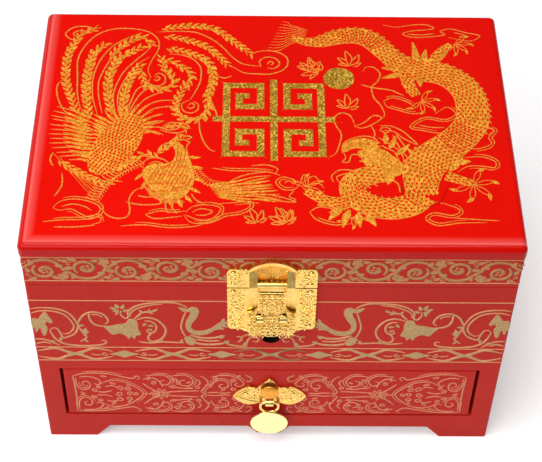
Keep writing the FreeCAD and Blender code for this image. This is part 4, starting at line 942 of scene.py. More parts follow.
class JEWELBOX_OT_pull(bpy.types.Operator):
    """Models the drawer pull: relief and boss on its plate, the ring and the smooth disc"""

    bl_idname = "jewelbox.pull"
    bl_label = "Drawer Pull"

    def execute(self, context):
        wings = Drawing()
        for across, up, radius in ((9.5, 55.5, 2), (13, 57, 1.7), (12, 48.8, 1.8), (19, 51, 1.5),
                                   (8.6, 48.2, 1.5)):
            wings.line(spiral(across, up, radius, 0.3, 0.95), 0.7, 0.5)
            for part in (0.1, 0.35, 0.6, 0.85):
                root = polar(across, up, radius * 0.8, part)
                wings.fill(leaf(*root, part + 0.06, 1.7, 1.0, 0.2))
        wings.line([(7.5, 59.5), (11.5, 59.6), (15.5, 57.2), (19.5, 53.4), (23.2, 50.1)], 0.7, 0.5)
        wings.line([(7.2, 43.8), (11.5, 44.6), (15.5, 46.2), (19.5, 48.2), (23.2, 49.8)], 0.7, 0.5)
        wings.mirror()
        wings.line([(-3.4, 65), (0, 69.3), (3.4, 65)], 0.6, 0.6)
        wings.line([(-1.8, 66), (0, 68), (1.8, 66)], 0.6, 0.6)
        add_relief("pull_leafwork", wings, PLATE_FACE, "drawer")
        boss = dome(6.0, 36, 20, (1.0, 0.36, 1.15))
        boss.location = (0, (FRONT - PLATE_FACE + 0.05) * MM, 57.0 * MM)
        seat(settle(boss), "pull_boss", "drawer", "amber_brass", "brass_fittings")
        self.ring()
        self.disc()
        return {"FINISHED"}

    def ring(self):
        """Round wire through the eye, with shoulders and a half circle under them."""
        low, high = (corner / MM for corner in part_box("pull_ring"))
        wire = 1.0
        half = high.x - wire
        top = high.z - wire
        shoulder = 2.85
        fall = top - shoulder - 2.0
        path = []
        for step in range(7):
            angle = math.pi / 2 * step / 6
            path.append((half + shoulder * (math.sin(angle) - 1), top + shoulder * (math.cos(angle) - 1)))
        for step in range(19):
            angle = math.pi * step / 18
            path.append((half * math.cos(angle), fall - half * math.sin(angle)))
        path += moved(path[6::-1], side=-1)
        depth = (low.y + high.y) / 2
        walk = [(u, depth, v, 1.0 + 0.12 * max(0.0, fall - v) / half) for u, v in path]
        ring = wires("pull_wire", [walk], wire, 3, closed=True)
        seat(settle(ring), "pull_wire", "pull", "bright_brass", "brass_fittings", "pull_ring")

    def disc(self):
        """A smooth disc with a raised rim round its face."""
        low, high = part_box("pull_disc")
        middle = (low + high) / 2
        bpy.ops.mesh.primitive_cylinder_add(vertices=72, radius=(high.x - low.x) / 2, depth=1.5 * MM,
                                            location=(0, middle.y, middle.z),
                                            rotation=(math.radians(90), 0, 0))
        disc = bpy.context.object
        bpy.ops.object.transform_apply(location=True, rotation=True, scale=True)
        form = bmesh.new()
        form.from_mesh(disc.data)
        face = [face for face in form.faces if len(face.verts) > 4 and face.normal.y < 0]
        bmesh.ops.inset_region(form, faces=face, thickness=1.3 * MM)
        bmesh.ops.inset_region(form, faces=face, thickness=0.5 * MM, depth=-0.22 * MM)
        form.to_mesh(disc.data)
        form.free()
        rounded(disc, 0.35, 3)
        seat(settle(disc), "pull_drop", "pull", "pale_brass", "brass_fittings", "pull_disc")


# ---- velvet ---------------------------------------------------------------------------------

def cut(form, place, normal):
    """Cuts a form's faces where a plane meets them."""
    parts = form.faces[:] + form.edges[:] + form.verts[:]
    bmesh.ops.bisect_plane(form, geom=parts, plane_co=place, plane_no=normal)


class JEWELBOX_OT_linings(bpy.types.Operator):
    """Lines the case, the drawer and the lid with velvet"""

    bl_idname = "jewelbox.linings"
    bl_label = "Velvet Linings"

    def execute(self, context):
        self.trough("case_velvet", "case_lining", "case")
        self.trough("drawer_velvet", "drawer_lining", "drawer")
        self.lid_pad()
        return {"FINISHED"}

    def trough(self, name, node, body):
        """A velvet floor and walls with soft inner corners and a rolled upper edge."""
        low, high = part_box(node)
        reach = high - low
        form = bmesh.new()
        bmesh.ops.create_cube(form, size=1.0)
        bmesh.ops.scale(form, vec=reach, verts=form.verts)
        bmesh.ops.translate(form, vec=(low + high) / 2, verts=form.verts)
        form.normal_update()
        roof = [face for face in form.faces if face.normal.z > 0.9]
        bmesh.ops.delete(form, geom=roof, context="FACES_ONLY")
        corners = [edge for edge in form.edges if not edge.is_boundary]
        bmesh.ops.bevel(form, geom=corners, offset=2.5 * MM, segments=4, profile=0.5, affect="EDGES")
        for axis in range(3):
            count = max(2, round(reach[axis] / (6.0 * MM)))
            normal = Vector([float(axis == other) for other in range(3)])
            for step in range(1, count):
                cut(form, low + normal * reach[axis] * step / count, normal)
        bmesh.ops.recalc_face_normals(form, faces=form.faces)
        lining = from_bmesh(name, form)
        modify(lining, "SOLIDIFY", thickness=1.4 * MM, offset=-1.0)
        rounded(lining, 0.45, 2, 60.0)
        seat(settle(lining), name, body, "red_velvet", "red_velvet", node)

    def lid_pad(self):
        """A thin quilted pad under the lid, puffed where the mirror's frame doesn't hold it flat."""
        low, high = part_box("lid_lining")
        frame_low, frame_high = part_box("mirror_frame")
        columns, rows = 136, 90
        form = bmesh.new()
        under = []
        for row in range(rows + 1):
            for column in range(columns + 1):
                across = low.x + (high.x - low.x) * column / columns
                along = low.y + (high.y - low.y) * row / rows
                edge = min(across - low.x, high.x - across, along - low.y, high.y - along)
                inward = max(frame_low.x - across, across - frame_high.x,
                             frame_low.y - along, along - frame_high.y)
                hold = max(0.0, min(1.0, edge / (3 * MM))) * max(0.0, min(1.0, inward / (3 * MM)))
                quilt = abs(math.sin((across + along) * 160.0)) * abs(math.sin((across - along) * 160.0))
                puff = hold * (0.6 + 1.9 * quilt ** 0.6) * MM
                under.append(form.verts.new((across, along, low.z - puff)))
        wide = columns + 1
        for row in range(rows):
            for a in range(row * wide, row * wide + columns):
                form.faces.new((under[a], under[a + wide], under[a + wide + 1], under[a + 1]))
        rim = [row * wide for row in range(rows, 0, -1)]
        rim += range(columns)
        rim += [row * wide + columns for row in range(rows)]
        rim += [rows * wide + column for column in range(columns, 0, -1)]
        lower = [under[index] for index in rim]
        upper = [form.verts.new((vert.co.x, vert.co.y, high.z)) for vert in lower]
        for index in range(len(rim)):
            form.faces.new((lower[index - 1], lower[index], upper[index], upper[index - 1]))
        form.faces.new(upper)
        bmesh.ops.recalc_face_normals(form, faces=form.faces)
        pad = settle(from_bmesh("lid_velvet", form))
        seat(pad, "lid_velvet", "lid", "red_velvet", "red_velvet", "lid_lining")


class JEWELBOX_OT_ring_rolls(bpy.types.Operator):
    """Stuffs the velvet rolls that hold rings in the tray"""

    bl_idname = "jewelbox.ring_rolls"
    bl_label = "Ring Rolls"

    count = 9
    radius = 8.4
    pitch = 18.4

    def execute(self, context):
        low, high = (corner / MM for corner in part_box("ring_rolls"))
        roll = self.roll(high.x - low.x - 1.6)
        places = [((low.x + high.x) / 2, low.y + self.radius + self.pitch * number, low.z + self.radius)
                  for number in range(self.count)]
        rolls = twins(roll, places)
        seat(rolls, "velvet_rolls", "tray", "red_velvet", "red_velvet", "ring_rolls")
        return {"FINISHED"}

    def roll(self, length):
        """One stuffed roll along X about the origin, blown up a little by a cloth simulation."""
        bpy.ops.mesh.primitive_cylinder_add(vertices=32, radius=(self.radius - 1.3) * MM,
                                            depth=(length - 2.0) * MM, rotation=(0, math.radians(90), 0))
        roll = bpy.context.object
        bpy.ops.object.transform_apply(location=True, rotation=True, scale=True)
        rounded(roll, 2.2, 3)
        self.blow_up(roll)
        modify(roll, "SUBSURF", levels=1)
        for vert in roll.data.vertices:
            self.shape(vert.co, length)
        return settle(roll)

    def blow_up(self, roll):
        """Presses the cloth out from inside, by no more than a millimetre."""
        modify(roll, "REMESH", mode="VOXEL", voxel_size=2.2 * MM)
        rest = [vert.co.copy() for vert in roll.data.vertices]
        inside = settings()[2]
        cloth = roll.modifiers.new("stuffing", "CLOTH")
        cloth.settings.use_pressure = True
        cloth.settings.uniform_pressure_force = inside.pressure
        cloth.settings.effector_weights.gravity = 0.0
        cloth.point_cache.frame_start = 1
        cloth.point_cache.frame_end = inside.frames
        for number in range(1, inside.frames + 1):
            bpy.context.scene.frame_set(number)
        select_only(roll)
        bpy.ops.object.modifier_apply(modifier=cloth.name)
        bpy.context.scene.frame_set(1)
        for vert, start in zip(roll.data.vertices, rest):
            moved_by = vert.co - start
            if moved_by.length > 1.0 * MM:
                vert.co = start + moved_by.normalized() * 1.0 * MM

    def cut_rings(self, roll, length):
        form = bmesh.new()
        form.from_mesh(roll.data)
        for step in range(1, 24):
            cut(form, ((step / 24 - 0.5) * length * MM, 0, 0), (1, 0, 0))
        form.to_mesh(roll.data)
        form.free()

    def shape(self, place, length):
        """Flattens the roll where it rests, draws in its sewn ends and adds a few slack creases."""
        share = abs(place.x) / (length * MM / 2)
        drawn = 1.0 - 0.10 * max(0.0, share - 0.93) / 0.07
        crease = 0.12 * MM * math.sin(place.x * 430.0 + 3.0 * math.sin(place.x * 90.0))
        factor = drawn + crease / (math.hypot(place.y, place.z) or 1.0)
        place.y *= factor
        place.z *= factor
        rest = -(self.radius - 0.3) * MM
        if place.z < rest + 0.9 * MM:
            place.z = rest + max(0.0, place.z - rest) * 0.25
        factor = min(1.0, self.radius * MM / (math.hypot(place.y, place.z) or 1.0))
        place.y *= factor
        place.z *= factor


# ---- straight gold lines and running bands --------------------------------------------------

LEVELS = {"skirt_high": 191.1, "skirt_low": 169.2, "case_high": 149.8, "case_low": 101.8, "narrow_low": 87.6}
REACH = {"front": 148.4, "left": 100.8, "right": 100.8}


def flower(across, up, reach, petals, start):
    """A small open flower of separate petals."""
    art = Drawing()
    for number in range(petals):
        turn = start + number / petals
        art.fill(leaf(*polar(across, up, reach * 0.22, turn), turn, reach * 0.8, reach * 0.55))
    return art


def spray(across, up, turn, length, count, spread, width):
    """A fan of leaves from one stalk."""
    art = Drawing()
    for number in range(count):
        share = number / (count - 1) * 2 - 1
        reach = length * (1 - 0.28 * abs(share))
        art.fill(leaf(across, up, turn + spread * share / 2, reach, reach * width, 0.25 * share))
    return art


class JEWELBOX_OT_gold_edges(bpy.types.Operator):
    """Paints the straight gold lines that frame the bands"""

    bl_idname = "jewelbox.gold_edges"
    bl_label = "Gold Edge Lines"

    levels = {"lid": ("skirt_high", "skirt_low"), "case": ("case_high", "case_low", "narrow_low")}

    def execute(self, context):
        for body, levels in self.levels.items():
            for face, reach in REACH.items():
                lines = Drawing()
                for level in levels:
                    lines.line([(reach * part / 3, LEVELS[level]) for part in (-3, -1, 1, 3)], 1.0, 1.0)
                lay(f"{body}_{face}_edge", lines, face, body, "edge_gold")
        return {"FINISHED"}


class JEWELBOX_OT_skirt_band(bpy.types.Operator):
    """Paints the close scroll of curling stems and leaves round the lid"""

    bl_idname = "jewelbox.skirt_band"
    bl_label = "Lid Band"

    pitch = 24.4
    hub_leaves = [
        (7.2, -1.1, -0.03, 4.6), (4.8, -7.6, -0.12, 4.4), (-7.8, -5.1, 0.56, 4.2), (-7, 2.8, 0.42, 3.6),
        (5.8, 4.4, 0.12, 4), (-1.6, -9.6, -0.33, 4.6),
    ]
    stem_leaves = [
        (1, -1.2, 5.2, 0.21), (1, -0.4, 8.4, 0.04), (-1, 2.6, -6.8, -0.22), (1, -2.6, -8, 0.02),
        (-1, 1, 8.2, 0.3), (1, -4.2, -2.6, 0.12), (-1, 4, -8.6, 0.05), (1, 2, 5.6, 0.62),
    ]
    tendrils = [(1, -3, -5, 0.6), (-1, 3.2, 8.6, 0), (1, -0.5, 6.6, 0.4)]

    def execute(self, context):
        for face, reach in REACH.items():
            lay(f"lid_{face}_scroll", self.scroll(reach), face, "lid", "scroll_gold")
        return {"FINISHED"}

    def scroll(self, reach):
        band = Drawing()
        low, high = LEVELS["skirt_low"], LEVELS["skirt_high"]
        count = round(reach / self.pitch)
        step = reach / count
        for number in range(count):
            self.curl(band, step * (number + 0.5), (high + low) / 2, 1 if number % 2 else -1, step / 2)
        band.fills = [points for points in band.fills
                      if max(points)[0] < reach and all(low < v < high for u, v in points)]
        band.mirror()
        return band

    def curl(self, band, across, middle, way, half):
        """One bay: the stem goes over the curl (way 1) or under it (way -1)."""
        bay = (across, middle, 1, way)
        stem = [(-half, -1.5), (-half * 0.72, 5.2), (-half * 0.2, 8.7), (half * 0.4, 7.4),
                (half * 0.78, 3.0), (half, 1.5)]
        band.line(moved(stem, *bay), 2.7, 0.8)
        band.line(moved(spiral(-0.4, -1.6, 7.4, 0.13, -1.25, 0.95, 0.26), *bay), 2.6, 0.55)
        band.add(flower(across - 0.7, middle - way * 1.8, 3.0, 4, 0.08))
        for u, v, turn, length in self.hub_leaves:
            band.fill(leaf(across + u, middle + way * v, way * turn, length * 1.35, 3.5, 0.3 * way))
        for side, u, v, turn in self.stem_leaves:
            band.fill(leaf(across + side * half + u, middle + way * v, way * turn, 5.0, 3.0, 0.2))
        for side, u, v, start in self.tendrils:
            band.line(moved(spiral(side * half + u, v, 1.8, start, 0.9), *bay), 1.2, 0.6)


class JEWELBOX_OT_case_band(bpy.types.Operator):
    """Paints the tall band of beasts, long necked birds and garlands, and the narrow band under it"""

    bl_idname = "jewelbox.case_band"
    bl_label = "Case Bands"

    fills = [
        [(-148.3, 126.9), (-147.4, 131.6), (-144.1, 131), (-141.6, 135.5), (-139.3, 138), (-137.7, 133.8),
         (-135.7, 128.2), (-137.4, 126.9), (-139.2, 128.7), (-140.6, 125.3), (-139.4, 121.8), (-141.7, 114),
         (-143, 116.6), (-143.5, 121.8), (-145.1, 120.9), (-146.5, 117.4), (-147.1, 121.8),
         (-148.3, 122.6)],
        [(-105.1, 124.8), (-101.6, 123.9), (-96.3, 125.4), (-90.1, 127.1), (-88.3, 130.9), (-84.7, 131.3),
         (-83.1, 127.5), (-83, 121.5), (-81.6, 115.5), (-84.6, 114.4), (-85.8, 111), (-87.5, 114),
         (-89.4, 111), (-90.8, 114.3), (-94.8, 116.9), (-99.1, 115.5), (-101.4, 119)],
        [(-57.1, 143.8), (-54.1, 142.9), (-51.6, 141.6), (-49.5, 143.8), (-46.3, 143.3), (-44.8, 139.8),
         (-46.5, 133), (-49.6, 127), (-49.9, 122.7), (-47.4, 119.8), (-41.9, 119.9), (-36.6, 123),
         (-33.5, 126.7), (-29.9, 129.4), (-28.9, 126.4), (-31.5, 124.3), (-29.4, 121.6), (-34.6, 121.1),
         (-39.8, 116.5), (-46.1, 115.4), (-50.9, 118.2), (-53, 123.5), (-52.3, 130.4), (-49.9, 136.4),
         (-50.3, 139.8), (-52.7, 138.9), (-55.2, 140.7)],
        [(-54.3, 112.2), (-51.3, 113.7), (-48.3, 110.9), (-47.1, 107), (-50, 104.8), (-53.1, 107.3)],
        [(-118.3, 120.7), (-116.8, 120), (-115.3, 122.4), (-115.1, 119.5), (-113.9, 117.8), (-115.6, 116),
         (-116.6, 113.4), (-117.5, 116)],
    ]
    strokes = [
        (1.1, [(-147.9, 141.3), (-140.9, 142.5), (-131.9, 141.4), (-125.1, 137.3), (-121.2, 129.7),
               (-120.1, 123.7), (-122.3, 116.8), (-126.2, 113.3), (-130.3, 111.8), (-131.6, 116.7),
               (-133.3, 121), (-135.8, 121.9), (-138.1, 119.3)]),
        (1, [(-147.8, 137.1), (-142.3, 139.2), (-134.2, 138.9), (-127.8, 135.6), (-123.8, 128.8),
             (-122.8, 122.9), (-125.3, 117.6), (-128.6, 115.6), (-130.2, 116.9)]),
        (1.2, [(-138.1, 119.3), (-135.3, 110.6), (-130.1, 105.4), (-122.9, 103.6), (-114.5, 103.4),
               (-107.1, 104.4), (-103.8, 106.5), (-104.2, 109.1), (-106.8, 108.7)]),
        (1.1, [(-148, 110.2), (-142.2, 109.8), (-136.8, 106.3), (-133.4, 103.8)]),
        (1, [(-147.9, 105.3), (-142.5, 106.9), (-138.5, 105)]),
        (1.2, [(-120.5, 125.5), (-117.3, 133.2), (-113.4, 137.4), (-109.3, 138.3), (-104.3, 136.7),
               (-101.3, 131.6), (-101.3, 128.2), (-103.3, 126)]),
        (0.9, [(-110.9, 135.8), (-107, 135.6), (-104.4, 133.2)]),
        (1.2, [(-112.4, 137.8), (-112.3, 131.5), (-110.2, 126.4), (-106.3, 124.2), (-103.7, 124.2)]),
        (1.1, [(-120.1, 124.6), (-118, 118.6), (-116.2, 115.1), (-115.9, 111.6), (-119.9, 107.7)]),
        (1.2, [(-92.4, 140.1), (-92.8, 135.9), (-90.3, 132.2), (-88.1, 134), (-88.4, 138.5), (-86.2, 141.9),
               (-81.9, 145.3), (-75.7, 147.4), (-67.6, 148.4), (-59.5, 148.2), (-54, 145.5),
               (-51.6, 142.7)]),
        (0.9, [(-86.7, 134.2), (-86.8, 137.5), (-84.1, 140.9), (-80, 143.4), (-73.8, 145.7), (-67, 146.7)]),
        (1.2, [(-84.6, 131.8), (-81.9, 135.2), (-79.8, 138.1), (-76.7, 138.6), (-73.1, 139.5)]),
        (1.2, [(-83.2, 131), (-77.4, 133), (-71.4, 131.1), (-67, 125.1), (-65.7, 119.1), (-67.8, 112.4),
               (-72.4, 108.5), (-76, 108.8), (-77.2, 112)]),
        (1.1, [(-78.4, 129.6), (-74.6, 129), (-71.8, 125.6), (-71.8, 120.4), (-74.6, 116.9), (-77.3, 118.6),
               (-76.2, 121.6)]),
        (1.1, [(-74.6, 116.9), (-76.3, 114.6), (-77, 110.6), (-74.5, 108.2)]),
        (1.1, [(-83.4, 107.8), (-75.6, 106.6), (-68.2, 107.7), (-54.7, 106.9)]),
        (1, [(-52.7, 138.9), (-54.4, 132.9), (-56, 124.4), (-54.9, 117.5), (-52.9, 112.2)]),
        (1.5, [(-50.8, 115.4), (-43, 112.2), (-34.7, 112.6), (-30.3, 115.1)]),
        (1.5, [(-47.9, 107), (-41.1, 105.3), (-33.2, 105.7), (-28.5, 107.5)]),
        (1.1, [(-47.5, 111), (-40.1, 109), (-32.2, 109.4)]),
        (1.2, [(-29, 108.1), (-26.4, 105.4), (-21.2, 104), (-14.9, 103.2)]),
        (1.1, [(-15.3, 104.2), (-14.2, 110.6), (-10.9, 114), (-7.6, 111.8), (-8.9, 108.2), (-11.6, 109.4)]),
        (1.1, [(-18.8, 113.6), (-15, 115.6), (-11.6, 118), (-8.4, 120.6)]),
        (1, [(-21, 108), (-18.4, 110.4), (-18.8, 113.6), (-21.6, 113.6)]),
    ]
    leaves = [
        (-95.4, 140.4, 0.36, 5), (-94.2, 142, 0.27, 5.2), (-92.4, 141.6, 0.16, 5), (-93.4, 140, 0.5, 4.4),
        (-91.6, 139.4, 0.05, 4), (-94, 138.8, 0.62, 3.8), (-79.8, 138.1, 0.3, 3.4),
        (-76.7, 138.6, 0.12, 3.6), (-73.6, 139.4, 0.06, 4.4), (-75.6, 138.4, 0.92, 3.2),
        (-77.6, 127.4, 0.62, 4), (-73, 124.4, 0.45, 4), (-74, 119.4, 0.36, 3.6), (-120.2, 124.8, 0.97, 4.2),
        (-117, 110, 0.82, 3.6), (-139.8, 108.6, 0.93, 4.2), (-30.8, 128.6, 0.16, 4.6),
        (-30.2, 127.6, 0.03, 5), (-31, 125.8, 0.9, 4.6), (-32.2, 112, 0.1, 4.6), (-30, 107, 0.06, 4.6),
        (-26.8, 105.6, 0.3, 4.4), (-12, 115, 0.3, 4.2), (-17.4, 104, 0.16, 4.4), (-57.4, 107, 0.14, 4.2),
        (-68, 107.8, 0.3, 3.6), (-131.6, 112.4, 0.7, 4.4),
    ]
    side_part = -51.0
    side_shift = 48.0
    knot = [(-8, -4.4), (0, -1.2), (8, -4.4), (4.6, 0), (8, 4.4), (0, 1.2), (-8, 4.4), (-4.6, 0)]
    spindle = [(-9.2, 0), (-4, 1.9), (0, 3.8), (4, 1.9), (9.2, 0), (4, -1.9), (0, -3.8), (-4, -1.9)]
    pitch = 62.0

    def execute(self, context):
        band = Drawing()
        for points in self.fills:
            band.fill(points)
            band.line([*points, points[0]], 0.7, 1.0)
        for width, points in self.strokes:
            band.line(points, width * 1.4, 0.5)
        for *root, length in self.leaves:
            band.fill(leaf(*root, length, length * 0.5, 0.2))
        band.mirror()
        lay("case_front_band", band, "front", "case", "vine_gold", "band_gold")
        for face in ("left", "right"):
            lay(f"case_{face}_band", self.side_band(), face, "case", "vine_gold", "band_gold")
        for face, reach in REACH.items():
            lay(f"case_{face}_narrow", self.narrow(reach), face, "case", "vine_gold", "band_gold")
        return {"FINISHED"}

    def side_band(self):
        """The beast, its curl and the tall spiral again, closed up to the side's width."""
        band = Drawing()
        for width, points in self.strokes:
            if max(points)[0] < self.side_part:
                band.line(moved(points, self.side_shift), width, 0.5)
        shapes = self.fills + [leaf(*root, length, length * 0.42, 0.2) for *root, length in self.leaves]
        band.fills = [moved(points, self.side_shift) for points in shapes if max(points)[0] < self.side_part]
        band.add(spray(0.0, 104.0, 0.25, 17.0, 7, 0.42, 0.24))
        band.mirror()
        return band

    def narrow(self, reach):
        """Crossing ribbons with spindles between them."""
        low, high = LEVELS["narrow_low"], LEVELS["case_low"]
        middle = (low + high) / 2
        crest = (high - low) / 2 - 1.2
        ribbon = [(-24.0, 2.6), (-19.5, 4.2), (-12.0, crest), (-6.0, 2.7), (0.0, 0.0)]
        ribbon += moved(ribbon[-2::-1], side=-1, way=-1)
        band = Drawing()
        places = [self.pitch * number for number in range(3) if self.pitch * number < reach]
        for across in places:
            for way in (-1, 1):
                band.line(moved(ribbon, across, middle, 1, way), 2.6, 0.25)
            band.fill(moved(self.knot, across, middle))
        for across in [place + self.pitch / 2 for place in places if place + 40.0 < reach]:
            band.fill(moved(self.spindle, across, middle))
            for side in (-1, 1):
                band.line(moved([(3.2, -2.6), (3.4, 0), (3.2, 2.6)], across, middle, side), 0.9, 0.7)
                band.line(moved(spiral(12.4, 0, 2.2, 0.5, 1.1), across, middle, side), 1.0, 0.5)
                band.line(moved([(14.4, -0.6), (17.4, -1.4), (21, -0.2)], across, middle, side), 1.0, 0.4)
        band.lines = [([(min(u, reach), v) for u, v in points], *rest) for points, *rest in band.lines
                      if max(points)[0] < reach or points[0][0] < reach - 14]
        band.mirror()
        return band


class JEWELBOX_OT_drawer_scrolls(bpy.types.Operator):
    """Paints the fine scrolls, the pointed ovals and the palmettes on the drawer"""

    bl_idname = "jewelbox.drawer_scrolls"
    bl_label = "Drawer Scrolls"

    strokes = [
        [(-126.4, 68.4), (-126, 59.5), (-122.6, 54.3), (-118.1, 56.7), (-117.8, 62.4), (-121, 63.9),
         (-122.6, 60.6), (-120.6, 59)],
        [(-124, 68.6), (-119, 69.4), (-113.5, 67.6), (-110.4, 63.4), (-112.4, 60), (-114.8, 61.6)],
        [(-113.6, 52), (-108.6, 51.6), (-103.8, 53.4)],
        [(-107.6, 57.6), (-103.8, 59.2), (-100.4, 57.8)],
        [(-83, 62), (-79.4, 57.4), (-75.2, 53.6), (-71.2, 51.2)],
        [(-82.8, 66.5), (-76.2, 68), (-72, 64), (-70, 57.8)],
        [(-64.6, 56.8), (-60.6, 57.4), (-56, 56.2), (-50, 56.8)],
        [(-47.4, 66.6), (-45.4, 63.4), (-46.8, 60)],
        [(-40.8, 51.4), (-35.6, 51.8), (-30.4, 51), (-25.6, 51.6)],
        [(-38.8, 57.4), (-36.4, 63.4), (-32, 66), (-27.6, 63.6), (-27.4, 58.4), (-31.4, 56.6), (-33.2, 60),
         (-30.6, 61.2)],
    ]
    unpaired = [
        [(-128, 69.8), (-123.3, 72.1), (-114.6, 73.4), (-104, 72.3), (-95.6, 69.2), (-89.2, 67.4),
         (-86.9, 70.2), (-84.6, 68.7), (-86.6, 66.1)],
        [(-128, 30.2), (-120.2, 29.3), (-109.1, 30), (-98.9, 32.5), (-91, 34.5), (-87.3, 32.6),
         (-85.2, 30.4), (-87.5, 29.4)],
        [(-128, 69.8), (-127.4, 56.6), (-127.4, 43), (-128, 30.2)],
        [(-124.6, 51.6), (-121.4, 50), (-124.6, 48.4)],
        [(-111.3, 60.5), (-104.4, 65), (-95.8, 63.8), (-88.6, 58.2), (-83.1, 50.3), (-88.6, 41.8),
         (-95.8, 36.2), (-104.4, 35), (-111.3, 39.5)],
        [(-83.1, 50.3), (-77.6, 49.6), (-71.7, 50)],
        [(-80.8, 70.2), (-74.4, 71.6), (-68.4, 70.8), (-64.6, 66), (-66.9, 60.4), (-71, 61.2), (-71, 64.8),
         (-68.6, 65.2)],
        [(-80.8, 29.8), (-74.4, 29), (-68.4, 29.8), (-64.6, 34.4), (-66.9, 39.8), (-71, 39), (-71, 35.4),
         (-68.6, 35)],
        [(-65.4, 69.8), (-59, 71.4), (-53.6, 70.6), (-49.9, 65.4), (-52.4, 59.6), (-57.7, 60),
         (-58.6, 64.6), (-55.2, 65.8)],
        [(-65.4, 30.2), (-59, 28.9), (-53.6, 29.6), (-49.9, 34.8), (-52.4, 40.6), (-57.7, 40.2),
         (-58.6, 35.6), (-55.2, 34.4)],
        [(-68.6, 51.9), (-59.5, 52.8), (-46.4, 53.6)],
        [(-68.6, 48.1), (-59.7, 47.4), (-46.7, 46.6)],
        [(-45.5, 70.6), (-42.8, 68.7), (-40.2, 63.1), (-42.6, 57.4), (-44.8, 52.8), (-42.6, 50.2),
         (-44.8, 47.4), (-42.6, 42.6), (-40.2, 36.9), (-42.8, 31.3), (-45.5, 29.6)],
        [(-38.2, 69.2), (-32.4, 71.2), (-25.4, 70.8), (-19.6, 67), (-16.8, 61.8), (-19.8, 58.6),
         (-22.8, 61), (-20.8, 63.4)],
        [(-38.2, 30.8), (-32.4, 29), (-25.4, 29.2), (-19.6, 33), (-16.8, 38.2), (-19.8, 41.4), (-22.8, 39),
         (-20.8, 36.6)],
        [(-15.8, 71.6), (-11.8, 68.6), (-12.8, 64.6), (-15.6, 65.4)],
        [(-15.8, 28.6), (-11.8, 31.4), (-12.8, 35.4), (-15.6, 34.6)],
    ]
    curls = [
        (-98.4, 56.4, 2.6, 0.75), (-92.6, 55.6, 2.3, 0.25), (-115.4, 54, 2, 0.7), (-112, 57.6, 1.7, 0.2),
        (-61.6, 66, 2.2, 0.3), (-75.6, 62.4, 2, 0.1), (-47, 57.6, 1.8, 0.2), (-35.4, 67.6, 1.8, 0.1),
        (-24, 66, 2.1, 0.6), (-23.4, 55.6, 2, 0.3),
    ]
    middle_curls = [(-99, 50, 2.4, 0.5), (-92, 50, 2.2, 0), (-88, 50, 1.8, 0.5)]
    leaves = [
        (-72.4, 50, 0.36, 5.4), (-72.4, 50, 0.43, 5.8), (-70.6, 50.8, 0.16, 4.6), (-71.6, 51.4, 0.27, 4.8),
        (-66, 58.2, 0.02, 4.4), (-60.4, 60.6, 0.2, 4), (-54, 58, 0.88, 3.8), (-79.6, 65.6, 0.18, 4),
        (-104.6, 62.8, 0.9, 4.2), (-93.6, 60.8, 0.85, 3.4), (-31.8, 53.6, 0.1, 3.8),
        (-21.6, 68.6, 0.12, 3.8), (-54.4, 62.6, 0.05, 3), (-41.8, 60, 0.05, 3),
    ]
    middle_leaves = [(-70.2, 50, 0, 4.6), (-110.2, 70.4, 0.93, 4), (-110.2, 32, 0.07, 4)]

    def execute(self, context):
        """The strokes, curls and leaves are drawn twice, over and under the drawer's middle level."""
        art = Drawing()
        under = [moved(points, 0, 100, 1, -1) for points in self.strokes]
        for points in self.strokes + under + self.unpaired:
            art.line(points, 1.25, 0.5)
            if len(points) > 6:
                art.line(offset_line(points, 1.9, 1.8, 0.12, 0.66), 0.8, 0.5)
        under = [(across, 100 - up, radius, 1 - start) for across, up, radius, start in self.curls]
        for across, up, radius, start in self.curls + under + self.middle_curls:
            art.line(spiral(across, up, radius, start, 1.2, inner=0.3), 1.05, 0.6)
        under = [(across, 100 - up, 1 - turn, length) for across, up, turn, length in self.leaves]
        for *root, length in self.leaves + under + self.middle_leaves:
            outline = leaf(*root, length, length * 0.36, 0.2)
            art.line([*outline, outline[0]], 0.8, 1.0)
        art.mirror()
        lay("drawer_scrolls", art, "front", "drawer", "drawer_gold")
        return {"FINISHED"}


# ---- the lid's figures ----------------------------------------------------------------------

def plume(art, points, width, pitch=2.3):
    """A feather as a chain of close barbs on both sides of a middle rib."""
    art.line(points, width * 0.34, 0.4)
    for number, (place, along, share) in enumerate(stations(points, pitch)):
        side = 1 if number % 2 else -1
        swell = width * (0.62 + 0.2 * math.sin(number * 1.3)) * min(1.0, 0.55 + 1.6 * min(share, 1 - share))
        root = beside(place, along, side * width * 0.10)
        art.fill(leaf(*root, heading(along) + side * 0.055, pitch * 2.3, swell, side * 0.16))


def comb(art, points, reach, pitch, width, lean):
    """Short strokes that stand off a line to its left; a negative reach stands to its right."""
    for place, along, share in stations(points, pitch):
        turn = heading(along) + math.copysign(lean, reach)
        tip = polar(*place, abs(reach), turn - 0.03)
        art.line([tuple(place), polar(*place, abs(reach) * 0.5, turn), tip], width, 0.35)


def scaled_skin(gold, gaps, points, half, pitch=3.0, row=2.9):
    """A gold strip with rows of small red gaps between its scales."""
    left = []
    right = []
    for number, (place, along, share) in enumerate(stations(points, pitch)):
        reach = half(share)
        left.append(beside(place, along, reach))
        right.append(beside(place, along, -reach))
        rows = max(1, round(2 * (reach - 1.0) / row))
        step = 2 * (reach - 1.0) / rows
        for index in range(rows + number % 2):
            offset = -reach + 1.0 + step * (index + (0.0 if number % 2 else 0.5))
            if abs(offset) <= reach - 0.8:
                corners = ((0, 1.05), (0.62, 0), (0, -1.05), (-0.62, 0))
                gaps.fill([beside(place, along, offset + side, ahead) for side, ahead in corners])
    gold.fill(left + right[::-1])
    gold.line(left, 0.7, 0.6)
    gold.line(right, 0.7, 0.6)


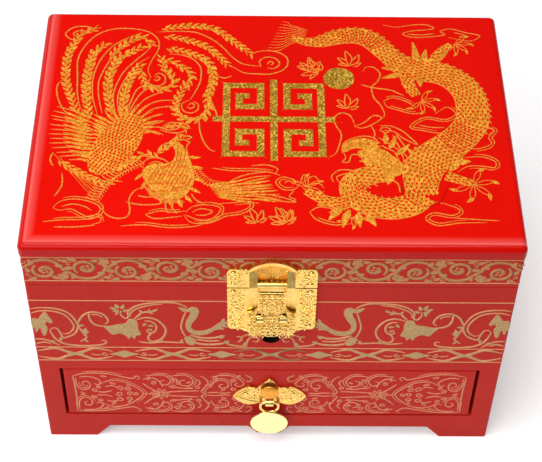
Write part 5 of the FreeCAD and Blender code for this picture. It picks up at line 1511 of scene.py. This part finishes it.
def wisp(art, points, width, gap):
    """A cloud's line, with a second one beside it if there is a gap."""
    art.line(points, width, 0.4)
    if gap:
        art.line(offset_line(points, gap, 3.0, 0.12, 0.88), width * 0.8, 0.4)


def ribs(gaps, points, half, start, stop, pitch):
    """Fine red lines across a body between two places on its length."""
    for place, along, share in stations(points, pitch):
        if start <= share <= stop:
            ends = ((half(share) - 1.2, 0.0), (0.0, 1.2), (1.2 - half(share), 0.0))
            gaps.line([beside(place, along, side, ahead) for side, ahead in ends], 0.6, 0.6)


def flame(art, across, up, reach, turn):
    """Hooked licks that rise from one spot."""
    for lean, share in ((-0.19, 0.62), (-0.09, 0.9), (0.02, 1.0), (0.12, 0.74), (0.21, 0.5)):
        lick = [(across, up)]
        for part, bend in ((0.45, 0.05), (1.0, 0.03), (0.62, -0.03), (0.3, -0.05)):
            lick.append(polar(across, up, reach * share * part, turn + lean + bend))
        art.line(lick, 1.15, 0.5)


def claws(art, across, up, turn, reach, spread, count):
    """Open toes round a foot, each a loop with a hooked nail."""
    for number in range(count):
        way = turn + spread * (number / (count - 1) - 0.5)
        bends = ((0.6, 0.035), (1.0, 0), (0.6, -0.035))
        toe = [polar(across, up, reach * part, way + bend) for part, bend in bends]
        art.line([(across, up), *toe, (across, up)], 0.8, 0.8)
        art.fill(leaf(*polar(across, up, reach * 0.85, way), way - 0.05, reach * 0.42, reach * 0.2, -0.3))


def lay_figure(name, art, gaps):
    """A figure in gold on the lid, with its fine gaps in red over it."""
    lay(name, art, "top", "lid", "lid_gold", "glitter_gold")
    lay(f"{name}_gaps", gaps, "top", "lid", "gloss_red", lift=settings()[0].line_height / MM * 0.8)


class JEWELBOX_OT_phoenix(bpy.types.Operator):
    """Draws the phoenix on the left of the lid: plumes, wings, scaled back and crest"""

    bl_idname = "jewelbox.phoenix"
    bl_label = "Phoenix"

    plumes = [
        (4, [(-123, 7), (-127, 19), (-131, 31), (-133, 43), (-133, 57), (-131, 67), (-128, 75), (-125, 81),
             (-118, 85)]),
        (4.8, [(-115, 4), (-118, 21), (-119, 36), (-118, 51), (-116, 62), (-110, 70)]),
        (4.8, [(-101, 6), (-104, 21), (-105, 36), (-103, 48), (-99, 58), (-94, 62), (-86, 68)]),
        (4.6, [(-94, 6), (-94, 21), (-93, 31), (-90, 42), (-86, 50)]),
        (3.4, [(-106, 57), (-101, 66), (-93, 74), (-85, 78), (-79, 71)]),
        (3.8, [(-73, 86), (-57, 89), (-43, 88), (-35, 84), (-27, 76), (-19, 68), (-14, 63)]),
        (3.4, [(-71, 79), (-61, 77), (-50, 73), (-43, 69), (-38, 64), (-33, 58), (-29, 52)]),
        (4.4, [(-69, 67), (-59, 65), (-50, 61), (-44, 57), (-40, 51), (-38, 40), (-39, 31), (-41, 22),
               (-40, 13), (-43, 5), (-49, 2), (-55, 3), (-60, 8), (-61, 15), (-59, 24), (-56, 32)]),
        (3.2, [(-71, 56), (-65, 55), (-59, 50), (-54, 46), (-52, 40), (-54, 33)]),
        (3.6, [(-84, 47), (-83, 39), (-80, 32), (-73, 29), (-67, 30), (-63, 35), (-65, 42), (-70, 50),
               (-72, 58)]),
        (3.6, [(-131, -34), (-120, -42), (-111, -48), (-103, -52), (-96, -50)]),
    ]
    strokes = [
        [(-129, 6), (-134, 15), (-137, 25), (-137, 33), (-134, 37)],
        [(-115, 1), (-121, 12), (-124, 25), (-125, 40), (-126, 56), (-122, 70), (-114, 81), (-103, 86),
         (-91, 86), (-81, 83), (-75, 76), (-74, 67), (-78, 56), (-80, 47), (-78, 40)],
        [(-110, 6), (-114, 22), (-115, 38), (-112, 54), (-105, 68), (-95, 77), (-86, 82)],
        [(-107, 7), (-110, 21), (-111, 36), (-107, 51), (-101, 64), (-95, 72), (-87, 78), (-82, 80)],
        [(-99, 8), (-101, 21), (-100, 31), (-96, 44), (-89, 55), (-82, 64), (-77, 73)],
        [(-97, 8), (-98, 22), (-96, 33), (-92, 43), (-86, 53), (-80, 59)],
        [(-91, 10), (-89, 20), (-86, 29), (-80, 34)],
        [(-128, 74), (-133, 76), (-136, 81), (-131, 87), (-123, 88), (-118, 86), (-113, 87)],
        [(-129, 78), (-131, 81), (-127, 84), (-122, 83)],
        [(-76, 83), (-62, 84), (-50, 83), (-40, 77), (-33, 70), (-26, 60), (-20, 54), (-14, 52), (-7, 51)],
        [(-14, 62), (-9, 65), (-2, 66), (5, 64), (10, 59), (10, 52), (6, 47), (-1, 44), (-9, 44), (-18, 45),
         (-25, 50)],
        [(-7, 51), (-8, 56), (-3, 60), (3, 58), (5, 53), (1, 49), (-3, 50)],
        [(-3, 53), (-1, 56), (1, 54), (-1, 52)],
        [(-67, 62), (-58, 61), (-51, 57), (-46, 49), (-46, 37), (-49, 27), (-52, 20)],
        [(-52, 20), (-57, 16), (-56, 10), (-51, 8), (-47, 11), (-47, 16), (-50, 18)],
        [(-53, 15), (-51, 17), (-49, 14), (-52, 12), (-54, 14)],
        [(-78, 40), (-79, 35), (-74, 32), (-69, 35), (-69, 41), (-73, 44), (-76, 41)],
        [(-75, 39), (-74, 41), (-72, 39), (-74, 37), (-76, 38)],
        [(-40, 20), (-37, 14), (-35, 7), (-35, 2)],
        [(-46, 4), (-45, -8), (-42, -18), (-38, -24), (-35, -25)],
        [(-37, 44), (-34, 41), (-30, 40), (-26, 42)],
        [(-91, 6), (-88, 15), (-83, 26), (-75, 33)],
        [(-89, 4), (-83, 17), (-77, 23), (-69, 27)],
        [(-87, 3), (-78, 15), (-70, 19), (-62, 19)],
        [(-85, 0), (-77, 10), (-70, 13), (-62, 14)],
        [(-83, -2), (-75, 5), (-69, 7)],
        [(-81, -6), (-75, -2), (-69, 0)],
        [(-80, -10), (-75, -9), (-70, -11)],
        [(-135, -27), (-107, -65)],
        [(-131, -30), (-106, -63.5)],
        [(-128.5, -34), (-105, -62)],
        [(-125.5, -37.5), (-103.5, -60.5)],
        [(-122, -41), (-102, -59)],
        [(-135, -27), (-136, -33), (-134, -38)],
        [(-128, -44), (-127, -51), (-128, -57), (-131, -63)],
        [(-71, -27), (-69, -21), (-63, -17), (-58, -11), (-54, -12), (-50, -13), (-54, -16), (-51, -17),
         (-53, -21), (-52, -27)],
        [(-68, -25), (-63, -21), (-59, -17)],
        [(-60, -15), (-58, -14)],
        [(-70, -7), (-65, -1), (-57, -1), (-52, -4), (-57, -9), (-64, -9), (-70, -7)],
        [(-68, -6), (-63, -3), (-57, -3.5), (-61, -6.5), (-67, -7)],
        [(-60, -9), (-59, -12)],
        [(-79, -35), (-88, -41), (-97, -49), (-102, -58), (-105, -65)],
        [(-81, -37), (-75, -31), (-67, -32), (-62, -38), (-66, -43), (-74, -43), (-81, -37)],
        [(-76, -36), (-71, -34), (-66, -37), (-70, -40), (-76, -39)],
        [(-48, -40), (-43, -50), (-36, -54), (-31, -54)],
        [(-31, -53), (-20, -49), (-10, -46), (-1, -45)],
        [(-31, -55), (-18, -52), (-2, -49)],
        [(-31, -57), (-15, -55), (0, -53)],
        [(-31, -59), (-15, -58), (3, -57)],
        [(-31, -61), (-15, -61), (4, -60)],
        [(-31, -63), (-16, -64), (5, -64)],
        [(-28, -52), (-20, -46), (-11, -43), (-4, -42)],
        [(-63, -65), (-64, -70), (-62, -76)],
        [(-59, -66), (-60, -71), (-57, -76)],
        [(-54, -65), (-54, -71)],
        [(-49, -60), (-46, -65), (-41, -68)],
        [(-78, -55), (-83, -58), (-86, -65), (-85, -74), (-87, -79), (-93, -80), (-99, -77), (-102, -72)],
        [(-88, -67), (-80, -69), (-71, -69), (-64, -67)],
        [(-81, -62), (-75, -63), (-69, -61)],
    ]
    clouds = [
        (1.3, [(-53, -77), (-48, -83), (-37, -83), (-28, -78), (-19, -76), (-12, -71), (-13, -66),
               (-23, -67), (-32, -68)]),
        (1.3, [(-52, -75), (-47, -70), (-37, -69), (-31, -72), (-35, -79), (-43, -81), (-52, -77)]),
        (0, [(-48, -75), (-43, -72), (-36, -74), (-40, -77), (-46, -77)]),
        (1.2, [(-76, -77), (-67, -74), (-60, -75), (-52, -74)]),
        (0, [(-76, -77), (-70, -80), (-60, -79), (-54, -78)]),
        (1.2, [(-90, -86), (-76, -85), (-61, -87), (-47, -86), (-41, -84)]),
        (1.3, [(-131, -72), (-127, -67), (-120, -65), (-112, -66), (-104, -70), (-103, -75), (-109, -79),
               (-115, -76), (-120, -73), (-127, -74), (-131, -72)]),
        (0, [(-126, -71), (-119, -69), (-112, -71), (-108, -74)]),
        (1.2, [(-136, -83), (-124, -81.5), (-112, -81), (-103, -79), (-102, -83), (-107, -85)]),
        (0, [(-129, -87), (-117, -87), (-105, -85.5)]),
        (1.2, [(-37, -39), (-25, -41), (-12, -41), (-2, -42), (5, -45)]),
        (0, [(-13, -37), (-4, -36), (3, -39), (2, -43)]),
    ]
    wing_tips = [
        (-136, 13), (-138, 9), (-139, 5), (-138, 2), (-139, -3), (-138, -7), (-139, -11), (-138, -15),
        (-138, -19), (-136, -23), (-133, -27), (-130, -30), (-125, -33),
    ]
    wing_bases = [
        (-112, 2), (-113, -1), (-113, -4), (-112, -7), (-112, -9), (-111, -12), (-110, -15), (-110, -18),
        (-109, -21), (-108, -24), (-107, -28), (-106, -31), (-106, -35),
    ]
    wing_back = [(-109, -44), (-103, -34), (-98, -23), (-93, -12), (-89, -2), (-86, 6)]
    wing_edge = [(-107, -44), (-99, -38), (-90, -31), (-82, -24)]
    near_edge = [(-79, -35), (-88, -41), (-97, -49), (-102, -58), (-105, -65)]
    far_edge = [(-47, -39), (-43, -46), (-37, -51), (-29, -53)]
    far_feathers = [(0, -52.5, 1.7, 19, 1.3), (15, -50.5, 1.9, 15, 1.2), (-7, -53.5, 1.3, 12, 1.3)]
    breast = [
        (-79, -41), (-78, -49), (-73, -57), (-66, -63), (-58, -65), (-52, -61), (-48, -52), (-48, -43),
        (-50, -34), (-53, -25), (-57, -19), (-62, -19), (-60, -26), (-61, -33), (-66, -36), (-73, -36),
    ]
    breast_feathers = [
        (-76, -50, 0.66), (-72, -56, 0.7), (-67, -60, 0.73), (-62, -63, 0.76), (-57, -64, 0.79),
        (-53, -61, 0.83), (-50, -55, 0.88), (-49, -47, 0.92), (-50, -38, 0.95), (-52, -30, 0.97),
        (-78, -44, 0.6),
    ]

    def execute(self, context):
        art = Drawing()
        gaps = Drawing()
        for width, points in self.plumes:
            plume(art, points, width)
        for points in self.strokes:
            art.line(points, 1.3, 0.4)
        for gap, points in self.clouds:
            wisp(art, points, 1.15, gap * 1.5)
        self.wings(art, gaps)
        self.body(art, gaps)
        flame(art, -10, -83, 12, 0.25)
        flame(art, 6, -84, 14, 0.25)
        lay_figure("phoenix", art, gaps)
        return {"FINISHED"}

    def wings(self, art, gaps):
        """The spread wing on the left in three layers, the fan over the back and the far wing."""
        for tip, base in zip(self.wing_tips, self.wing_bases):
            across, up = base
            middle = ((tip[0] + across) / 2, (tip[1] + up) / 2 + 1.2)
            art.line([base, middle, tip], 1.25, 0.3)
            turn = heading((tip[0] - across, tip[1] - up))
            art.fill(leaf(across, up, turn, math.dist(tip, base) * 0.72, 2.5, -0.12))
            art.fill(leaf(across + 10, up - 2.0, turn, 12.0, 2.3, -0.12))
            art.fill(leaf(across + 17, up - 3.0, turn, 10.0, 2.2, -0.12))
        scaled_skin(art, gaps, self.wing_back, self.back_width, 2.4, 2.4)
        ribs(gaps, self.wing_edge, lambda share: 3.0, 0.1, 0.9, 2.0)
        for number in range(11):
            way = 0.38 - number * 0.039
            root = polar(-91, -7, 8.0 + number % 3, way)
            art.fill(leaf(*root, way, 13.0 - 0.3 * number, 2.1, -0.12))
            tip = polar(*root, 15.0 + 2 * (number % 2), way - 0.03)
            art.line([root, polar(*root, 8.0, way), tip], 1.1, 0.3)
        comb(art, self.near_edge, -7.5, 2.1, 1.15, 0.2)
        comb(art, self.near_edge, 2.6, 2.1, 0.8, 0.2)
        comb(art, self.far_edge, -4.2, 1.9, 0.9, 0.2)
        comb(art, self.far_edge, 3.0, 1.9, 0.8, 0.2)
        for number in range(8):
            for across, up, fall, length, width in self.far_feathers:
                root = (-32 + number * 0.8 + across, up - number * fall)
                art.fill(leaf(*root, 0.035 - number * 0.010, length, width, 0.05))

    def back_width(self, share):
        """Half the width of the wing's scaled back, which swells in the middle."""
        return 2.5 + 10.5 * math.sin(math.pi * share) ** 0.6

    def body(self, art, gaps):
        """Breast and neck as a gold mass cut by fine curved lines, with loose feathers round it."""
        art.fill(self.breast)
        spine = [(-57, -19), (-56, -26), (-57, -34), (-60, -43), (-64, -53), (-67, -62)]
        for number in range(-5, 6):
            start = 0.04 if abs(number) < 2 else 0.26 + 0.05 * abs(number)
            gaps.line(offset_line(spine, number * 2.3, 2.0, start, 0.97 - 0.03 * abs(number)), 0.62, 0.5)
        for row, reach in ((-38, 7.0), (-45, 10.0), (-52, 10.5), (-58, 8.0)):
            for number in range(-3, 4):
                across = -61 + number * reach / 3.2 + (row + 38) * 0.2
                gaps.line(moved([(-1.3, 0.8), (0, -1), (1.3, 0.8)], across, row), 0.55, 0.6)
        for root in self.breast_feathers:
            art.fill(leaf(*root, 8.0, 2.4, 0.14))
        for number in range(6):
            art.line([(-79 + number, -53 - number * 1.7), (-70 + number, -59 - number * 1.5),
                      (-60 + number * 1.5, -61 - number * 1.2)], 1.0, 0.3)
        plume(art, [(-71, -27), (-66, -22), (-60, -17), (-56, -13)], 3.6, 2.0)
        plume(art, [(-70, -31), (-78, -28), (-86, -33), (-92, -38), (-98, -42)], 3.8)
        plume(art, [(-69, -6), (-63, -4), (-57, -3), (-54, -6)], 2.6, 2.0)


class JEWELBOX_OT_dragon(bpy.types.Operator):
    """Draws the dragon on the right of the lid: scaled coils, head, mane, whiskers and claws"""

    bl_idname = "jewelbox.dragon"
    bl_label = "Dragon"

    back = [
        (13, 79), (22, 75), (32, 75), (42, 79), (52, 81), (60, 80), (67, 75), (73, 67), (80, 58), (88, 51),
        (99, 48), (110, 45), (119, 38), (125, 28), (127, 16), (126, 3), (120, -8), (112, -17), (103, -25),
        (95, -34), (91, -44), (90, -54), (90, -60),
    ]
    coil = [
        (90, -60), (84, -67), (73, -71), (62, -70), (53, -65), (48, -57), (50, -49), (57, -45), (66, -42),
    ]
    widths = (2.0, 4.2, 6.4, 7.4, 7.6, 7.0, 9.0, 9.6, 9.6, 9.8, 10.2, 10.4, 10.8, 11.4, 12.6, 11.6, 9.0)
    strokes = [
        [(59, 47), (61, 51), (66, 51), (70, 45), (68, 38), (64, 32), (65, 23), (69, 16), (71, 8), (69, 4)],
        [(52, -2), (49, 7), (43, 9), (39, 4), (40, -2), (43, -9), (42, -17), (39, -26), (35, -29)],
        [(57, 35), (65, 32), (76, 30), (84, 25)],
        [(67, -2), (74, -2), (81, -6), (86, -12), (90, -18), (82, -13), (76, -7), (69, -6)],
        [(63, -12), (69, -20), (75, -24), (78, -32)],
        [(66, -12), (73, -18), (79, -24), (81, -32)],
        [(75, -10), (79, -21), (84, -31), (86, -39)],
        [(77, -9), (82, -19), (87, -27), (88, -33)],
        [(51, -3), (58, 1), (64, 7), (69, 5), (64, 0), (57, -4), (52, -3)],
        [(43, -26), (44, -18), (50, -13), (58, -11), (64, -13), (66, -18)],
        [(46, -22), (51, -18), (58, -16)],
        [(47, -20), (46, -16), (49, -14)],
        [(44, -25), (45, -30), (43, -33), (47, -33), (49, -27), (54, -28), (57, -35), (60, -40)],
        [(67, -6), (70, -3), (74, -5), (71, -8), (67, -6)],
        [(62, -2), (64, -8), (63, -14)],
        [(37, -50), (36, -45), (41, -40), (48, -40), (52, -42), (44, -43), (39, -46), (41, -51)],
        [(45, -45), (49, -43), (54, -43)],
        [(71, -46), (76, -51), (77, -58)],
        [(95, 43), (88, 36), (86, 27)],
        [(120, 40), (127, 43), (132, 36), (131, 31), (127, 30)],
        [(121, -3), (128, 1), (134, -2), (139, -5), (135, -9)],
    ]
    clouds = [
        (0, [(74, 92), (83, 90), (93, 92), (103, 92.5), (108, 89), (103, 87.5), (92, 86), (87, 83),
             (94, 80), (107, 81), (115, 83), (112, 86), (119, 88.5), (129, 85), (138, 82), (132, 77),
             (125, 78), (117, 80)]),
        (0, [(90, 83), (100, 82.5), (108, 84)]),
        (0, [(121, 85), (129, 82), (124, 81)]),
        (1.2, [(71, 20), (77, 23), (85, 20), (91, 15)]),
        (1.2, [(71, 20), (73, 15), (80, 12), (88, 9), (97, 10)]),
        (1.2, [(103, 9), (111, 15), (116, 9), (109, 4), (97, 6), (88, 0), (87, -4), (95, -6), (105, -8),
               (114, -4)]),
        (0, [(92, -1), (100, -3), (108, -3)]),
        (1.3, [(131, -2), (139, -5), (135, -11), (136, -17), (128, -21), (120, -21)]),
        (1.3, [(116, -29), (129, -28), (137, -32), (136, -37), (130, -36), (120, -36), (113, -41)]),
        (1.3, [(97, -65), (106, -68), (112, -72), (107, -76), (96, -74), (91, -79), (98, -84), (111, -82),
               (127, -81.5)]),
        (0, [(107, -78), (120, -79), (135, -80)]),
        (1.3, [(22, -74), (26, -80), (36, -84), (46, -83)]),
        (0, [(22, -74), (28, -70), (38, -72)]),
        (1.3, [(16, -50), (7, -46), (2, -50), (6, -56), (13, -56), (17, -51)]),
        (0, [(7, -51), (10, -49), (13, -52)]),
        (0, [(-6, -60), (4, -62), (14, -66), (8, -66), (-2, -64)]),
        (0, [(17, -51), (19, -44), (23, -46)]),
        (0, [(18, -51), (25, -45), (28, -49)]),
        (0, [(19, -53), (28, -51), (31, -55)]),
        (0, [(18, -55), (24, -58), (31, -58)]),
        (0, [(13, -57), (10, -62), (14, -64)]),
    ]
    flames = [
        (30, 45, 15, 0.38), (24, 47, 13, 0.2), (50, 52, 14, 0.22), (47, 13, 13, 0.2), (8, -82, 11, 0.25),
    ]
    fur = [
        (91, 50, 0.3, 14), (94, 53, 0.24, 22), (97, 53, 0.19, 16), (100, 52, 0.14, 15), (88, 48, 0.46, 17),
        (88, 45, 0.52, 18), (92, 43, 0.6, 12), (104, 56, 0.1, 16), (96, 45, 0.72, 12), (108, -40, 0.12, 14),
        (104, -34, 0.08, 16), (100, -38, 0.02, 12), (112, -33, 0, 10), (42, -70, 0.62, 14),
        (46, -72, 0.68, 15), (51, -74, 0.74, 12), (56, -74, 0.8, 12), (38, -66, 0.52, 12),
        (33, -64, 0.47, 10), (48, -68, 0.55, 16),
    ]
    legs = (
        ([(87, 44), (88, 35), (92, 25)], 4.4, 1.4),
        ([(45, -67), (35, -66), (27, -62), (20, -57)], 4.6, 1.8),
        ([(106, -44), (113, -47), (121, -50)], 3.8, 1.2),
        ([(106, 60), (112, 68), (118, 73)], 3.0, 0.8),
    )
    feet = (
        (95, 20, -0.10, 10, 0.55, 5),
        (121, 74, -0.12, 10, 0.5, 5),
        (122, -51, -0.12, 13, 0.62, 5),
        (21, -54, 0.18, 9, 0.5, 4),
        (47, -78, -0.22, 8, 0.4, 3),
    )
    brow = [
        (55, -24), (61, -21), (69, -23), (75, -29), (81, -36), (80, -42), (73, -46), (67, -50), (62, -44),
        (58, -37),
    ]
    snout = [
        (44, -25), (44, -19), (49, -15), (56, -13), (63, -15), (67, -20), (62, -22), (56, -22), (50, -22),
    ]
    mane = [
        (66, -26, 0.44, 12), (64, -31, 0.5, 11), (66, -36, 0.54, 10), (69, -41, 0.58, 10),
        (74, -44, 0.64, 9), (72, -22, 0.16, 12), (76, -27, 0.1, 13), (80, -33, 0.05, 10),
        (70, -18, 0.22, 10), (80, -39, -0.04, 9), (58, -24, 0.62, 7), (55, -23, 0.68, 6),
        (84, -22, 0.84, 11), (88, -20, 0.8, 11),
    ]
    face_lines = [
        [(62, -26), (66, -31), (67, -38)],
        [(67, -26), (72, -32), (73, -40)],
        [(59, -29), (61, -34), (62, -38)],
        [(72, -29), (77, -34), (78, -40)],
    ]

    def execute(self, context):
        art = Drawing()
        gaps = Drawing()
        scaled_skin(art, gaps, self.back, self.girth)
        scaled_skin(art, gaps, self.coil, lambda share: 8.6 - 1.4 * share)
        ribs(gaps, self.back, self.girth, 0.14, 0.27, 2.0)
        ribs(gaps, self.back, self.girth, 0.70, 0.80, 2.0)
        self.limbs(art, gaps)
        self.head(art, gaps)
        for points in self.strokes:
            art.line(points, 1.3, 0.4)
        for gap, points in self.clouds:
            wisp(art, points, 1.1, gap * 1.5)
        for number in range(11):
            rise = number * 2.7
            art.line([(-4 + number * 1.1, 66 + rise * 1.05), (5 + number * 0.6, 66.5 + rise),
                      (13, 73 + rise * 0.66), (21 + number * 0.3, 75 + rise * 0.42)], 0.7, 0.3)
        gaps.line([(80, -47), (78, -57), (82, -65), (91, -69), (100, -66), (104, -58), (108, -49)], 0.9, 0.5)
        for spot in self.flames:
            flame(art, *spot)
        lay_figure("dragon", art, gaps)
        return {"FINISHED"}

    def girth(self, share):
        """Half the body's width from the tail to the lowest coil."""
        place = share * (len(self.widths) - 1)
        index = min(int(place), len(self.widths) - 2)
        near, far = self.widths[index:index + 2]
        return near + (far - near) * (place - index)

    def limbs(self, art, gaps):
        for *root, length in self.fur:
            art.fill(leaf(*root, length, 4.6, 0.12))
        for points, wide, taper in self.legs:
            scaled_skin(art, gaps, points, lambda share: wide - taper * share, 2.6, 2.6)
        for foot in self.feet:
            claws(art, *foot)
        comb(art, self.back[1:16], 2.4, 5.0, 1.1, 0.14)
        comb(art, offset_line(self.back, self.girth, 5.0, 0.08, 0.72), 2.6, 5.0, 1.2, 0.12)
        comb(art, offset_line(self.coil, -7.6, 4.0, 0.2, 0.9), -2.6, 4.6, 1.1, 0.14)

    def head(self, art, gaps):
        art.fill(self.brow)
        art.fill(self.snout)
        for *root, length in self.mane:
            art.fill(leaf(*root, length, 3.6, 0.16))
        for across, up in ((60, -18), (55, -17.5), (49.5, -19)):
            gaps.line(spiral(across, up, 1.7, 0.2, 0.9), 0.6, 0.6)
        for points in self.face_lines:
            gaps.line(points, 0.6, 0.5)
        gaps.fill([(64.5, -18.5), (66.4, -17.3), (68.2, -18.6), (66.4, -19.6)])


class JEWELBOX_OT_medallion(bpy.types.Operator):
    """Lays the square fret medallion and the round disc in gold glitter on the lid"""

    bl_idname = "jewelbox.medallion"
    bl_label = "Medallion and Disc"

    quarter = [(-30, 0), (-30, 30), (-8.4, 30), (-8.4, 11), (-22, 11), (-22, 20.6), (-15.4, 20.6)]
    bar_width = 4.6

    def execute(self, context):
        art = Drawing()
        for way in (-1, 1):
            for side in (-1, 1):
                art.fill(self.bar(moved(self.quarter, 1.0, 3.0, side, way)))
        art.fill(self.bar([(1.0, 38.5), (1.0, -32.5)]))
        art.fill(self.bar([(-37.5, 3.0), (39.5, 3.0)]))
        art.fill([polar(43.0, 40.2, 9.9, number / 40) for number in range(40)])
        lay("medallion", art, "top", "lid", "emblem_gold")
        return {"FINISHED"}

    def bar(self, path):
        """The outline of a square-cornered bar along a path, with each corner as two close points."""
        steps = [(Vector(after) - Vector(before)).normalized() for before, after in zip(path, path[1:])]
        left = []
        right = []
        for index, place in enumerate(path):
            before = steps[max(index - 1, 0)]
            after = steps[min(index, len(steps) - 1)]
            along = before + after if (before - after).length > 0.1 else before
            side = Vector((-along.y, along.x)) * self.bar_width / 2
            left.append(Vector(place) + side)
            right.append(Vector(place) - side)
        corners = left + right[::-1]
        outline = []
        for index, corner in enumerate(corners):
            back = (corners[index - 1] - corner).normalized()
            on = (corners[(index + 1) % len(corners)] - corner).normalized()
            outline += [tuple(corner + back * 0.06), tuple(corner + on * 0.06)]
        return outline


STEPS = (JEWELBOX_OT_boards, JEWELBOX_OT_stage, JEWELBOX_OT_gold_edges, JEWELBOX_OT_skirt_band,
         JEWELBOX_OT_case_band, JEWELBOX_OT_drawer_scrolls, JEWELBOX_OT_phoenix, JEWELBOX_OT_dragon,
         JEWELBOX_OT_medallion, JEWELBOX_OT_lock, JEWELBOX_OT_nails, JEWELBOX_OT_pull, JEWELBOX_OT_linings,
         JEWELBOX_OT_ring_rolls)


# ---- the add-on -----------------------------------------------------------------------------

class JEWELBOX_PT_panel(bpy.types.Panel):
    """Lists the steps that dress the box"""

    bl_label = "Jewelry Box"
    bl_idname = "JEWELBOX_PT_panel"
    bl_space_type = "VIEW_3D"
    bl_region_type = "UI"
    bl_category = "Jewelry Box"

    def draw(self, context):
        layout = self.layout
        for group in settings():
            box = layout.box()
            for name in group.bl_rna.properties.keys():
                if name not in ("rna_type", "name"):
                    box.prop(group, name)
        for step in STEPS:
            layout.operator(step.bl_idname)


SETTINGS = (LacquerSettings, MetalSettings, InsideSettings)


def register():
    for group in (*SETTINGS, *STEPS, JEWELBOX_PT_panel):
        bpy.utils.register_class(group)
    bpy.types.Scene.box_lacquer = PointerProperty(type=LacquerSettings)
    bpy.types.Scene.box_metal = PointerProperty(type=MetalSettings)
    bpy.types.Scene.box_inside = PointerProperty(type=InsideSettings)


def unregister():
    del bpy.types.Scene.box_lacquer
    del bpy.types.Scene.box_metal
    del bpy.types.Scene.box_inside
    for group in reversed((*SETTINGS, *STEPS, JEWELBOX_PT_panel)):
        bpy.utils.unregister_class(group)


def run(step):
    """Runs one operator, and stops the script if it can't finish."""
    family, name = step.bl_idname.split(".")
    if getattr(getattr(bpy.ops, family), name)() != {"FINISHED"}:
        raise RuntimeError(f"{step.bl_label} did not finish")


def main():
    register()
    for step in STEPS:
        run(step)


if __name__ == "__main__":
    main()
